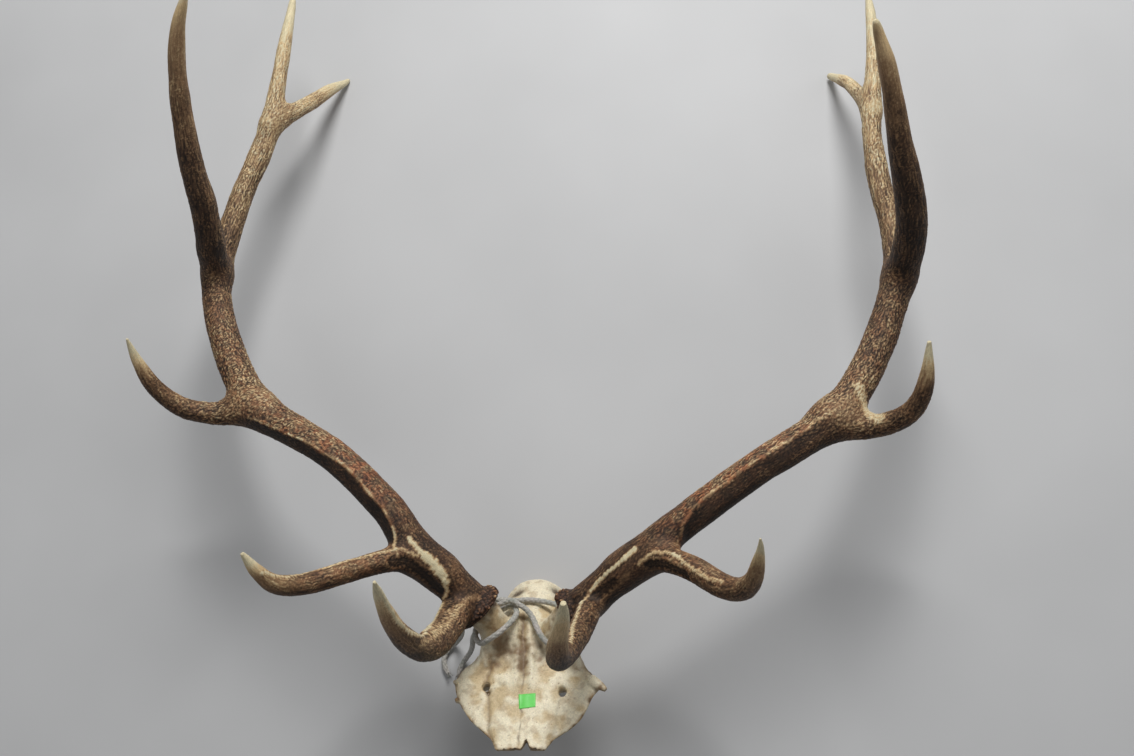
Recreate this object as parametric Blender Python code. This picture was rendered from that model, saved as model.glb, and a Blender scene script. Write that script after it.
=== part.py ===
"""A bull elk's antlers on their skull plate, tied with a cord and lying on their back.

The tables are in millimetres, measured from the middle of the skull plate's back edge:
+X is to the animal's left, +Y towards the antler tips, +Z up from the surface that it lies on.
Each row of a branch is the centre of its round section and the section's radius.
The finished objects are in metres, with the origin under the middle of the whole rack.
"""

import math

import bmesh
import bpy
from mathutils import Matrix, Vector

MM = 0.001
FOOT_CENTRE = (-14.0, 372.0)  # the middle of the rack's outline, seen from above
GAP = 0.3  # between pieces that touch

BEAM_STEP = 20.0  # between the rings of a beam
BEAM_DETAIL = 4  # 12 sides
TINE_STEP = 21.0
TINE_DETAIL = 3  # 10 sides

RIGHT_LOWER_BEAM = [
    (-63, -40, 147, 25), (-115, 0, 182, 26), (-155, 35, 204, 25), (-190, 78, 215, 23),
    (-265, 140, 218, 22.5), (-330, 176, 213, 23), (-395, 210, 203, 24.5), (-440, 262, 190, 24),
    (-480, 330, 178, 22.5), (-508, 393, 164, 22), (-519, 446, 155, 21),
]
RIGHT_UPPER_BEAM = [
    (-519, 446, 155, 21), (-520, 495, 145, 19), (-507, 590, 140, 17.5), (-488, 680, 137, 17),
    (-483, 760, 138, 13.5), (-484, 850, 136, 11), (-486, 930, 130, 7.5), (-487, 972, 128, 1.5),
]
RIGHT_BROW_TINE = [
    (-80, -33, 158, 16), (-84, -55, 182, 17.5), (-86, -88, 230, 17), (-91, -112, 285, 16.5),
    (-97, -118, 345, 15), (-104, -108, 408, 12.5), (-108, -92, 458, 9), (-107, -78, 502, 5),
    (-105, -69, 531, 1.2),
]
RIGHT_BEZ_TINE = [
    (-112, 0, 184, 18), (-150, 8, 206, 18), (-175, 4, 224, 15.5), (-220, -20, 259, 15),
    (-260, -45, 298, 13.5), (-286, -52, 334, 12), (-302, -42, 362, 9.5), (-312, -29, 381, 4.5),
    (-316, -23, 390, 1.2),
]
RIGHT_TREZ_TINE = [
    (-395, 212, 203, 18), (-430, 207, 204, 18), (-462, 200, 212, 16), (-500, 202, 232, 13.5),
    (-530, 220, 262, 11.5), (-545, 245, 293, 8.5), (-551, 262, 313, 4.5), (-553, 272, 326, 1.2),
]
RIGHT_ROYAL_TINE = [
    (-518, 438, 158, 16), (-513, 455, 200, 21), (-506, 475, 240, 20), (-505, 502, 275, 19),
    (-511, 537, 313, 17.5), (-514, 590, 365, 14.5), (-511, 635, 410, 12.5),
    (-503, 675, 445, 10), (-491, 702, 468, 6.5), (-480, 718, 483, 1.2),
]
RIGHT_FIFTH_TINE = [
    (-483, 708, 138, 12), (-469, 730, 126, 14.5), (-455, 760, 104, 13.5), (-443, 795, 74, 12),
    (-430, 842, 34, 9.5), (-418, 872, 6, 5.5), (-413, 884, -6, 3),
]
LEFT_LOWER_BEAM = [
    (73, -36, 149, 25), (135, 15, 187, 25), (170, 42, 204, 25), (210, 76, 215, 23),
    (298, 149, 221, 22.5), (350, 187, 218, 23), (402, 230, 211, 24.5), (440, 285, 203, 23.5),
    (470, 355, 190, 22.5), (490, 420, 179, 22.5), (500, 462, 172, 21.5),
]
LEFT_UPPER_BEAM = [
    (500, 462, 172, 21.5), (498, 500, 158, 19), (492, 550, 153, 17.5), (476, 620, 150, 16.5),
    (465, 700, 149, 14.5), (466, 790, 147, 12.5), (467, 845, 145, 10.5), (466, 895, 142, 8.5),
    (462, 940, 139, 6), (458, 972, 136, 1.5),
]
LEFT_BROW_TINE = [
    (94, -26, 163, 16), (92, -48, 192, 16.5), (86, -78, 232, 16), (80, -105, 283, 15.5),
    (78, -120, 340, 14.5), (82, -119, 398, 13), (89, -106, 446, 10.5), (97, -89, 492, 7),
    (100, -78, 524, 1.8),
]
LEFT_BEZ_TINE = [
    (135, 14, 188, 18), (170, 28, 208, 18.5), (196, 26, 229, 17.5), (232, 9, 261, 16.5),
    (268, -14, 288, 15.5), (290, -20, 312, 14.5), (303, -13, 348, 11.5), (307, 3, 381, 8),
    (308, 15, 402, 4.5), (307, 23, 414, 1.2),
]
LEFT_TREZ_TINE = [
    (402, 232, 211, 18), (430, 224, 214, 18), (458, 221, 219, 16), (480, 223, 235, 15),
    (500, 231, 256, 14), (511, 247, 280, 12.5), (514, 270, 306, 9), (513, 292, 326, 4.5),
    (512, 304, 338, 1.2),
]
LEFT_ROYAL_TINE = [
    (500, 456, 172, 16), (504, 470, 205, 22), (505, 486, 240, 22), (501, 505, 278, 21),
    (491, 530, 318, 19.5), (475, 565, 362, 16), (460, 603, 408, 13), (445, 640, 446, 10),
    (434, 660, 467, 7.5), (429, 669, 479, 4.5), (428, 671, 482, 1.8),
]
LEFT_FIFTH_TINE = [
    (465, 734, 149, 12), (458, 765, 131, 12.5), (449, 797, 108, 10.5), (438, 832, 78, 10),
    (427, 862, 44, 8.5), (417, 885, 16, 6.5), (412, 897, -3, 4),
]

BURR_PROFILE = [(-6, 29), (-3, 34), (3, 37), (9, 35), (14, 29), (17, 25)]  # height, radius
BURR_SIDES = 26
BURR_KNOBS = ((5, 0.04), (9, 0.04), (13, 0.03))  # waves round the burr, share of its radius

# The skull plate in its own frame: x runs across it, u from its back edge to the nose along
# the sawn underside, and t out of that face. The sawn face climbs 3 in 4 towards the nose.
SAW_RUN, SAW_RISE = 0.8, 0.6
SKULL_TURN = math.radians(4.6)
# u, half width on the right, half width on the left, roof height, rim height, roof fullness
SKULL_STATIONS = [
    (-3, 24, 24, 1.5, 1, 2), (0, 30, 30, 8, 1, 2), (5, 36, 36, 28, 1, 2), (10, 40, 41, 43, 1, 2),
    (18, 44, 45, 54, 2, 2), (30, 48, 50, 60, 2, 2), (58, 57, 56, 64, 3, 2),
    (90, 62, 60, 66, 5, 1.9), (112, 66, 64, 61, 8, 1.7), (133, 76, 70, 55, 12, 1.5),
    (146, 83, 75, 51, 16, 1.3), (158, 91, 79, 48, 20, 1.2), (170, 97, 87, 44, 23, 1.1),
    (182, 100, 94, 40, 24, 1), (195, 99, 103, 36, 24, 1), (211, 94, 90, 30, 21, 1),
    (228, 84, 84, 25, 18, 1), (243, 73, 76, 21, 14, 1), (257, 57, 62, 18, 11, 1),
    (271, 43, 42, 14, 9, 1), (287, 34, 31, 11, 7, 1),
]
SAWN_SLOPE, SAWN_INSET = 0.85, 0.3  # how far the sides fall back below the rim, to its height
ROOF_STEPS = 12  # faces across the roof of one section
BRAINCASE = ((0, 64, -2), (42, 46, 42))  # centre and radii
ORBITS = [((-108, 183, -6), (44, 30, 26)), ((110, 183, -6), (44, 30, 26))]
NASAL_TROUGH = ((0, 250, -14), (30, 62, 24))
FORAMEN_RADIUS = 3.6
FORAMINA = [(-53, 202, 30), (50, 206, 29)]
FORAMEN_REACH = 45.0
PEDICLE_ROOT = (32, 126, 40, 28)  # x, u, t and radius, inside the skull
PEDICLE_MIDDLE = (46, 124, 68, 23)
PEDICLE_TOP_RADIUS = 24

CORD_RADIUS = 4.0
CORD_STEP = 14.0
CORD_DETAIL = 2  # 8 sides
# The cord's route from end to end: a loose leg, the lashing round both pedicles in the skull
# plate's frame, and the other loose leg.
FIRST_LEG = [
    (-110, -128, 4.6), (-109, -114, 4.6), (-103, -101, 7.5), (-93, -90, 22), (-86, -83, 45),
    (-82, -78, 66), (-78, -73, 84), (-70, -66, 97),
]
LASHING = [
    (-61, 101, 51), (-46, 91, 60), (-33, 87, 67), (-23, 90.5, 70.5), (-17.5, 100, 73),
    (-16.5, 113, 77), (-21.5, 131, 82), (-33.5, 147, 81), (-48, 154, 74.5), (-62, 148, 60),
    (-72, 134, 53), (-75, 117, 54.5), (-67, 100.5, 62.5), (-50, 92, 72), (-37, 90, 78),
    (-25, 90, 81.5), (-13, 97, 81), (-2, 103, 76), (7, 115, 72), (14, 133, 72), (25, 151, 67.5),
    (42, 158, 58), (58, 151, 50), (70, 137, 47), (71, 120, 50), (65, 104, 57), (52, 94, 65),
    (38, 89, 71), (25, 84, 71.5), (0, 78, 70.8), (-22, 80, 72), (-40, 81, 75), (-57, 87, 80),
    (-72, 97, 70),
]
SECOND_LEG = [
    (-83, -50, 109), (-92, -55, 97), (-97, -59, 80), (-101, -63, 56), (-107, -68, 30),
    (-117, -75, 10), (-128, -85, 4.6), (-134, -98, 4.6), (-131, -112, 4.6), (-122, -126, 4.6),
]

STICKER_CENTRE = (3.5, 222)  # x and u
STICKER_SIZE = (19.0, 19.0)
STICKER_THICKNESS = 0.3
STICKER_CLEARANCE = 0.4

SHARP_ANGLE = 40.0
FAR = 3000.0  # beyond the rack on every side
WELD = 0.05  # corners closer than this become one
HOLLOW_SIDES, HOLLOW_LEVELS = 16, 10
CAP_RADIUS, CAP_HEIGHT, CAP_SIDES = 45, 60, 12  # cuts a pedicle off under its burr
FORAMEN_DETAIL = 2  # 8 sides
ANTLER_ROUGHNESS, BONE_ROUGHNESS, CORD_ROUGHNESS, PAPER_ROUGHNESS = 0.55, 0.6, 0.9, 0.4

LOWER_COLOUR = (0.10, 0.065, 0.04)
TINE_COLOUR = (0.16, 0.11, 0.07)
UPPER_COLOUR = (0.27, 0.21, 0.14)
BONE_COLOUR = (0.62, 0.53, 0.38)
CORD_COLOUR = (0.34, 0.34, 0.31)
STICKER_COLOUR = (0.16, 0.68, 0.13)

BRANCH_COLOURS = {
    "lower_beam": LOWER_COLOUR, "upper_beam": UPPER_COLOUR, "brow_tine": TINE_COLOUR,
    "bez_tine": TINE_COLOUR, "trez_tine": TINE_COLOUR, "royal_tine": TINE_COLOUR,
    "fifth_tine": UPPER_COLOUR,
}
RIGHT_BRANCHES = {
    "lower_beam": RIGHT_LOWER_BEAM, "upper_beam": RIGHT_UPPER_BEAM,
    "brow_tine": RIGHT_BROW_TINE, "bez_tine": RIGHT_BEZ_TINE, "trez_tine": RIGHT_TREZ_TINE,
    "royal_tine": RIGHT_ROYAL_TINE, "fifth_tine": RIGHT_FIFTH_TINE,
}
LEFT_BRANCHES = {
    "lower_beam": LEFT_LOWER_BEAM, "upper_beam": LEFT_UPPER_BEAM,
    "brow_tine": LEFT_BROW_TINE, "bez_tine": LEFT_BEZ_TINE, "trez_tine": LEFT_TREZ_TINE,
    "royal_tine": LEFT_ROYAL_TINE, "fifth_tine": LEFT_FIFTH_TINE,
}


def start_scene():
    for scene_object in list(bpy.data.objects):
        bpy.data.objects.remove(scene_object, do_unlink=True)
    collection = bpy.data.collections.new("elk_antlers")
    bpy.context.scene.collection.children.link(collection)
    return collection


def to_world(point):
    """A point in the tables' millimetres to metres in the finished frame."""
    x, y, z = point[:3]
    return Vector((x - FOOT_CENTRE[0], y - FOOT_CENTRE[1], z)) * MM


def from_skull(point):
    """A point in the skull plate's frame to the tables' frame, both in millimetres."""
    x, u, t = point[:3]
    upright = Vector((x, -SAW_RUN * u + SAW_RISE * t, SAW_RISE * u + SAW_RUN * t))
    return Matrix.Rotation(SKULL_TURN, 3, "Z") @ upright


def make_material(name, colour, roughness):
    material = bpy.data.materials.new(name)
    material.use_nodes = True
    shader = material.node_tree.nodes["Principled BSDF"]
    shader.inputs["Base Color"].default_value = (*colour, 1.0)
    shader.inputs["Roughness"].default_value = roughness
    shader.inputs["Metallic"].default_value = 0.0
    return material


def add_mesh(name, mesh):
    mesh_object = bpy.data.objects.new(name, mesh)
    bpy.context.scene.collection.objects.link(mesh_object)
    return mesh_object


def remove_object(mesh_object):
    bpy.data.objects.remove(mesh_object, do_unlink=True)


def smooth_row(rows, stretch, share):
    """A row part of the way along one stretch of a smooth line through all the rows."""
    before = rows[max(stretch - 1, 0)]
    start, end = rows[stretch], rows[stretch + 1]
    after = rows[min(stretch + 2, len(rows) - 1)]
    blended = []
    for a, b, c, d in zip(before, start, end, after):
        bend = 2 * a - 5 * b + 4 * c - d
        twist = 3 * (b - c) + d - a
        blended.append(b + 0.5 * share * ((c - a) + share * (bend + share * twist)))
    return blended


def sample_rows(rows, step):
    sampled = []
    for stretch in range(len(rows) - 1):
        length = (Vector(rows[stretch + 1][:3]) - Vector(rows[stretch][:3])).length
        pieces = max(1, round(length / step))
        for piece in range(pieces):
            sampled.append(smooth_row(rows, stretch, piece / pieces))
    sampled.append(list(rows[-1]))
    return sampled


def make_tube(name, rows, step, detail, swell=0.0):
    """A closed tube along the rows, each of which gives a centre and a radius."""
    sampled = sample_rows(rows, step)
    curve = bpy.data.curves.new(name, "CURVE")
    curve.dimensions = "3D"
    curve.bevel_depth = MM
    curve.bevel_resolution = detail
    curve.use_fill_caps = True
    spline = curve.splines.new("POLY")
    spline.points.add(len(sampled) - 1)
    for point, row in zip(spline.points, sampled):
        point.co = (*to_world(row), 1.0)
        point.radius = row[3] + swell
    curve_object = bpy.data.objects.new(name, curve)
    bpy.context.scene.collection.objects.link(curve_object)
    graph = bpy.context.evaluated_depsgraph_get()
    mesh = bpy.data.meshes.new_from_object(curve_object.evaluated_get(graph))
    mesh.name = name
    remove_object(curve_object)
    weld(mesh)
    mesh.materials.clear()
    return add_mesh(name, mesh)


def weld(mesh):
    work = bmesh.new()
    work.from_mesh(mesh)
    bmesh.ops.remove_doubles(work, verts=work.verts, dist=WELD * MM)
    bmesh.ops.recalc_face_normals(work, faces=work.faces)
    work.to_mesh(mesh)
    work.free()


def boolean(target, cutter, operation, keep_cutter=False):
    modifier = target.modifiers.new("cut", "BOOLEAN")
    modifier.operation = operation
    modifier.solver = "EXACT"
    modifier.object = cutter
    graph = bpy.context.evaluated_depsgraph_get()
    mesh = bpy.data.meshes.new_from_object(target.evaluated_get(graph))
    target.modifiers.clear()
    target.data = mesh
    weld(mesh)
    if not keep_cutter:
        remove_object(cutter)


def loft(name, sections, split_faces=False):
    """A closed solid through rings of equally many points, given in the tables' frame."""
    work = bmesh.new()
    rings = []
    for section in sections:
        rings.append([work.verts.new(to_world(point)) for point in section])
    for ring, following in zip(rings, rings[1:]):
        for side in range(len(ring)):
            turn = (side + 1) % len(ring)
            corners = (ring[side], ring[turn], following[turn], following[side])
            if split_faces:
                work.faces.new(corners[:3])
                work.faces.new((corners[2], corners[3], corners[0]))
            else:
                work.faces.new(corners)
    work.faces.new(rings[0])
    work.faces.new(rings[-1])
    bmesh.ops.recalc_face_normals(work, faces=work.faces)
    mesh = bpy.data.meshes.new(name)
    work.to_mesh(mesh)
    work.free()
    return add_mesh(name, mesh)


def frame_along(direction):
    """Two directions across the given one."""
    along = direction.normalized()
    across = along.cross(Vector((0, 0, 1))).normalized()
    return across, along.cross(across)


def lathe(name, centre, direction, profile, sides, knobs):
    """A turned solid whose radius rises and falls round it by the knobs' waves."""
    across, upward = frame_along(direction)
    along = direction.normalized()
    sections = []
    for level, (height, radius) in enumerate(profile):
        section = []
        for side in range(sides):
            angle = 2 * math.pi * side / sides
            wave = sum(share * math.sin(count * angle + level) for count, share in knobs)
            reach = radius * (1 + wave)
            outward = math.cos(angle) * across + math.sin(angle) * upward
            section.append(centre + height * along + reach * outward)
        sections.append(section)
    return loft(name, sections, split_faces=True)


def box(name, low, high):
    corners = [(low[0], low[1]), (high[0], low[1]), (high[0], high[1]), (low[0], high[1])]
    return loft(name, [[(x, y, z) for x, y in corners] for z in (low[2], high[2])])


def ellipsoid(name, centre, radii):
    """An ellipsoid whose axes follow the skull plate's frame."""
    work = bmesh.new()
    bmesh.ops.create_uvsphere(work, u_segments=HOLLOW_SIDES, v_segments=HOLLOW_LEVELS, radius=1)
    for vert in work.verts:
        place = [middle + radius * part for middle, radius, part in zip(centre, radii, vert.co)]
        vert.co = to_world(from_skull(place))
    bmesh.ops.recalc_face_normals(work, faces=work.faces)
    mesh = bpy.data.meshes.new(name)
    work.to_mesh(mesh)
    work.free()
    return add_mesh(name, mesh)


def cut_at_rest_plane(target):
    """Flattens what would dip below the surface that the rack lies on."""
    below = box("below", (-FAR, -FAR, -FAR), (FAR, FAR, 0))
    boolean(target, below, "DIFFERENCE")


def split_beam(beam, fork, side):
    """The beam in two pieces at the royal fork, with a gap between them."""
    upper = add_mesh(side + "_upper_beam", beam.data.copy())
    beyond = box("beyond", (-FAR, fork - GAP / 2, -FAR), (FAR, FAR, FAR))
    boolean(beam, beyond, "DIFFERENCE")
    before = box("before", (-FAR, -FAR, -FAR), (FAR, fork + GAP / 2, FAR))
    boolean(upper, before, "DIFFERENCE")
    return upper


def make_beam(name, rows, swell=0.0):
    """The whole beam with its burr, swollen where it is to cut the tines clear of itself."""
    beam = make_tube(name, rows, BEAM_STEP, BEAM_DETAIL, swell)
    centre = Vector(rows[0][:3])
    direction = Vector(rows[1][:3]) - centre
    middle = sum(height for height, _ in BURR_PROFILE) / len(BURR_PROFILE)
    profile = []
    for height, radius in BURR_PROFILE:
        profile.append((height + math.copysign(swell, height - middle), radius + swell))
    burr = lathe("burr", centre, direction, profile, BURR_SIDES, BURR_KNOBS)
    boolean(beam, burr, "UNION")
    return beam


def make_tine(name, rows, beam_cutter):
    tine = make_tube(name, rows, TINE_STEP, TINE_DETAIL)
    boolean(tine, beam_cutter, "DIFFERENCE", keep_cutter=True)
    return tine


def make_antler(side, branches):
    beam_rows = branches["lower_beam"] + branches["upper_beam"][1:]
    name = side + "_lower_beam"
    lower = make_beam(name, beam_rows)
    cutter = make_beam("cutter", beam_rows, GAP)
    pieces = {}
    for branch in ("brow_tine", "bez_tine", "trez_tine", "royal_tine", "fifth_tine"):
        pieces[branch] = make_tine(side + "_" + branch, branches[branch], cutter)
    remove_object(cutter)
    upper = split_beam(lower, branches["upper_beam"][0][1], side)
    cut_at_rest_plane(pieces["fifth_tine"])
    pieces["lower_beam"] = lower
    pieces["upper_beam"] = upper
    return pieces


def skull_section(station):
    """The ring of one station: its two sawn corners and the roof from right to left."""
    u, right, left, roof, rim, fullness = station
    sawn_u, inset = u - SAWN_SLOPE * rim, SAWN_INSET * rim
    section = [(left - inset, sawn_u, 0), (inset - right, sawn_u, 0)]
    for step in range(ROOF_STEPS + 1):
        across = -math.cos(math.pi * step / ROOF_STEPS)
        width = right if across < 0 else left
        rise = max(0.0, 1 - across * across) ** (1 / fullness)
        section.append((across * width, u, rim + (roof - rim) * rise))
    return [from_skull(point) for point in section]


def make_pedicle(side_sign, burr_centre, burr_direction):
    """A pedicle from inside the skull to just under the burr."""
    rows = []
    for x, u, t, radius in (PEDICLE_ROOT, PEDICLE_MIDDLE):
        rows.append((*from_skull((side_sign * x, u, t)), radius))
    rows.append((*burr_centre, PEDICLE_TOP_RADIUS))
    pedicle = make_tube("pedicle", rows, BEAM_STEP, BEAM_DETAIL)
    bottom = BURR_PROFILE[0][0] - GAP
    profile = [(bottom, CAP_RADIUS), (bottom + CAP_HEIGHT, CAP_RADIUS)]
    cap = lathe("cap", burr_centre, burr_direction, profile, CAP_SIDES, ())
    boolean(pedicle, cap, "DIFFERENCE")
    return pedicle


def make_skull_plate():
    sections = [skull_section(station) for station in SKULL_STATIONS]
    skull = loft("skull_plate", sections)
    for side_sign, rows in ((-1, RIGHT_LOWER_BEAM), (1, LEFT_LOWER_BEAM)):
        centre = Vector(rows[0][:3])
        direction = Vector(rows[1][:3]) - centre
        boolean(skull, make_pedicle(side_sign, centre, direction), "UNION")
    for centre, radii in (BRAINCASE, NASAL_TROUGH, *ORBITS):
        boolean(skull, ellipsoid("hollow", centre, radii), "DIFFERENCE")
    cut_foramina(skull)
    cut_at_rest_plane(skull)
    return skull


def cut_foramina(skull):
    for x, u, t in FORAMINA:
        rows = []
        for reach in (-FORAMEN_REACH, FORAMEN_REACH):
            rows.append((*from_skull((x, u, t + reach)), FORAMEN_RADIUS))
        boolean(skull, make_tube("foramen", rows, 2 * FORAMEN_REACH, FORAMEN_DETAIL), "DIFFERENCE")


def make_cord():
    route = [*FIRST_LEG, *(tuple(from_skull(point)) for point in LASHING), *SECOND_LEG]
    rows = [(*point, CORD_RADIUS) for point in route]
    return make_tube("cord", rows, CORD_STEP, CORD_DETAIL)


def roof_height(u):
    """The roof's height on the midline."""
    for before, after in zip(SKULL_STATIONS, SKULL_STATIONS[1:]):
        if before[0] <= u <= after[0]:
            share = (u - before[0]) / (after[0] - before[0])
            return before[3] + share * (after[3] - before[3])
    raise ValueError(u)


def make_sticker():
    x, u = STICKER_CENTRE
    half_width, half_length = STICKER_SIZE[0] / 2, STICKER_SIZE[1] / 2
    sections = []
    for lift in (STICKER_CLEARANCE, STICKER_CLEARANCE + STICKER_THICKNESS):
        section = []
        for side, end in ((-1, -1), (1, -1), (1, 1), (-1, 1)):
            place = u + end * half_length
            height = roof_height(place) + lift
            section.append(from_skull((x + side * half_width, place, height)))
        sections.append(section)
    return loft("sticker", sections)


def finish(mesh_object, name, collection, colour, roughness, origin, smooth=True):
    """Names the object, gives it its material and origin, and files it in the collection."""
    mesh_object.name = name
    mesh_object.data.name = name
    mesh_object.data.materials.clear()
    mesh_object.data.materials.append(make_material(name, colour, roughness))
    place = to_world(origin)
    mesh_object.data.transform(Matrix.Translation(-place))
    mesh_object.location = place
    if smooth:
        mesh_object.data.shade_smooth()
        mesh_object.data.set_sharp_from_angle(angle=math.radians(SHARP_ANGLE))
    for holder in list(mesh_object.users_collection):
        holder.objects.unlink(mesh_object)
    collection.objects.link(mesh_object)


def main():
    collection = start_scene()
    sides = {"right": RIGHT_BRANCHES, "left": LEFT_BRANCHES}
    for side, branches in sides.items():
        for branch, piece in make_antler(side, branches).items():
            colour = BRANCH_COLOURS[branch]
            finish(piece, side + "_" + branch, collection, colour, ANTLER_ROUGHNESS, branches[branch][0])
    skull = make_skull_plate()
    finish(skull, "skull_plate", collection, BONE_COLOUR, BONE_ROUGHNESS, (0, 0, 0))
    finish(make_cord(), "cord", collection, CORD_COLOUR, CORD_ROUGHNESS, FIRST_LEG[0])
    sticker_place = from_skull((*STICKER_CENTRE, roof_height(STICKER_CENTRE[1])))
    finish(make_sticker(), "sticker", collection, STICKER_COLOUR, PAPER_ROUGHNESS, sticker_place, False)


main()
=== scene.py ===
"""The dressed model of a bull elk's antlers on their skull plate.

Each antler's beam and tines are tubes along smooth lines, blended where they fork, with the
grooves, beads, burr and worn ridges of real antler raised on them. The skull plate is a loft
with its pedicles, and the cord is three strands twisted along the route that part.py gives.
Lengths are in millimetres until a mesh is made; the tables count from the middle of the
skull plate's back edge, as in part.py.
"""

import math

import bmesh
import bpy
import numpy as np
from mathutils import Matrix, Vector
from mathutils.bvhtree import BVHTree


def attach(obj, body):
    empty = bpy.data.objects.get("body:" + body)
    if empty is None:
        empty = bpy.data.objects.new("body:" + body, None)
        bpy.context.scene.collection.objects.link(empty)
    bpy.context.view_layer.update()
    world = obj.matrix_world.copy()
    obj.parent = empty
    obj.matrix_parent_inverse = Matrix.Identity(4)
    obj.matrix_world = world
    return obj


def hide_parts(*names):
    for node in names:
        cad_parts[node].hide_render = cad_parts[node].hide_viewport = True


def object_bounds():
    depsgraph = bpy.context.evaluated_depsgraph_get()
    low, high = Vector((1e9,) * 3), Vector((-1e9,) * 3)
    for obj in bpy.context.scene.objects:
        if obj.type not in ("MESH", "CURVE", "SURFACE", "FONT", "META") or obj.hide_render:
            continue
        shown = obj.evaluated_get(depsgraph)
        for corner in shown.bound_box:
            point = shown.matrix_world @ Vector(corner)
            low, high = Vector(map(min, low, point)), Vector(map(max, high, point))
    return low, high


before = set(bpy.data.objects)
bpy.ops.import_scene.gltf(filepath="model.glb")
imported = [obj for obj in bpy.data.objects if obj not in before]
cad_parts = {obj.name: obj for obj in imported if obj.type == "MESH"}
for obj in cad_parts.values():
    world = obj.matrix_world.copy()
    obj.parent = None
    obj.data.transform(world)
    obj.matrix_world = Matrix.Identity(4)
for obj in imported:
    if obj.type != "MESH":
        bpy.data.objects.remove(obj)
cad_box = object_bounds()

MM = 0.001
FOOT_CENTRE = np.array([-14.0, 372.0, 0.0])
SEED = 7

# the branches' centre lines

RIGHT_BEAM = [
    (-63, -40, 147, 25), (-115, 0, 182, 26), (-155, 35, 204, 25), (-190, 78, 215, 23),
    (-265, 140, 218, 22.5), (-330, 176, 213, 23), (-395, 210, 203, 24.5), (-440, 262, 190, 24),
    (-480, 330, 178, 22.5), (-508, 393, 164, 22), (-519, 446, 155, 21), (-520, 495, 145, 19),
    (-507, 590, 140, 17.5), (-488, 680, 137, 17), (-483, 760, 138, 13.5), (-484, 850, 136, 11),
    (-486, 930, 130, 7.5), (-487, 972, 128, 1.5),
]
RIGHT_BROW = [
    (-80, -33, 158, 16), (-84, -55, 182, 17.5), (-86, -88, 230, 17), (-91, -112, 285, 16.5),
    (-97, -118, 345, 15), (-104, -108, 408, 12.5), (-108, -92, 458, 9), (-107, -78, 502, 5),
    (-105, -69, 531, 1.2),
]
RIGHT_BEZ = [
    (-112, 0, 184, 18), (-150, 8, 206, 18), (-175, 4, 224, 15.5), (-220, -20, 259, 15),
    (-260, -45, 298, 13.5), (-286, -52, 334, 12), (-302, -42, 362, 9.5), (-312, -29, 381, 4.5),
    (-316, -23, 390, 1.2),
]
RIGHT_TREZ = [
    (-395, 212, 203, 18), (-430, 207, 204, 18), (-462, 200, 212, 16), (-500, 202, 232, 13.5),
    (-530, 220, 262, 11.5), (-545, 245, 293, 8.5), (-551, 262, 313, 4.5), (-553, 272, 326, 1.2),
]
RIGHT_ROYAL = [
    (-518, 438, 158, 16), (-513, 455, 200, 21), (-506, 475, 240, 20), (-505, 502, 275, 19),
    (-511, 537, 313, 17.5), (-514, 590, 365, 14.5), (-511, 635, 410, 12.5),
    (-503, 675, 445, 10), (-491, 702, 468, 6.5), (-480, 718, 483, 1.2),
]
RIGHT_FIFTH = [
    (-483, 708, 138, 12), (-469, 730, 126, 14.5), (-455, 760, 104, 13.5), (-443, 795, 74, 12),
    (-430, 842, 34, 9.5), (-419, 871, 8, 5.2), (-415, 880, 3, 2.7),
]
LEFT_BEAM = [
    (73, -36, 149, 25), (135, 15, 187, 25), (170, 42, 204, 25), (210, 76, 215, 23),
    (298, 149, 221, 22.5), (350, 187, 218, 23), (402, 230, 211, 24.5), (440, 285, 203, 23.5),
    (470, 355, 190, 22.5), (490, 420, 179, 22.5), (500, 462, 172, 21.5), (498, 500, 158, 19),
    (492, 550, 153, 17.5), (476, 620, 150, 16.5), (465, 700, 149, 14.5), (466, 790, 147, 12.5),
    (467, 845, 145, 10.5), (466, 895, 142, 8.5), (462, 940, 139, 6), (458, 972, 136, 1.5),
]
LEFT_BROW = [
    (94, -26, 163, 16), (92, -48, 192, 16.5), (86, -78, 232, 16), (80, -105, 283, 15.5),
    (78, -120, 340, 14.5), (82, -119, 398, 13), (89, -106, 446, 10.5), (97, -89, 492, 7),
    (100, -78, 524, 1.8),
]
LEFT_BEZ = [
    (135, 14, 188, 18), (170, 28, 208, 18.5), (196, 26, 229, 17.5), (232, 9, 261, 16.5),
    (268, -14, 288, 15.5), (290, -20, 312, 14.5), (303, -13, 348, 11.5), (307, 3, 381, 8),
    (308, 15, 402, 4.5), (307, 23, 414, 1.2),
]
LEFT_TREZ = [
    (402, 232, 211, 18), (430, 224, 214, 18), (458, 221, 219, 16), (480, 223, 235, 15),
    (500, 231, 256, 14), (511, 247, 280, 12.5), (514, 270, 306, 9), (513, 292, 326, 4.5),
    (512, 304, 338, 1.2),
]
LEFT_ROYAL = [
    (500, 456, 172, 16), (504, 470, 205, 22), (505, 486, 240, 22), (501, 505, 278, 21),
    (491, 530, 318, 19.5), (475, 565, 362, 16), (460, 603, 408, 13), (445, 638, 446, 10.5),
    (434, 660, 467, 7.5), (429, 669, 479, 4.5), (428, 671, 482, 1.8),
]
LEFT_FIFTH = [
    (465, 742, 146, 8.5), (458, 765, 131, 11.5), (449, 797, 108, 10.5), (438, 832, 78, 10),
    (427, 862, 44, 8.5), (418, 884, 16, 6.2), (414, 893, 5, 4.6),
]

LINE_STEP = 4.0  # between the stored points of a branch's centre line
COARSE = 5  # every fifth of them is compared when a point looks for its branch
NEAR = 90.0  # points further from a branch than this are no part of it
CHUNK = 20000  # points compared at once
VOXEL = 1.8


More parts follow.
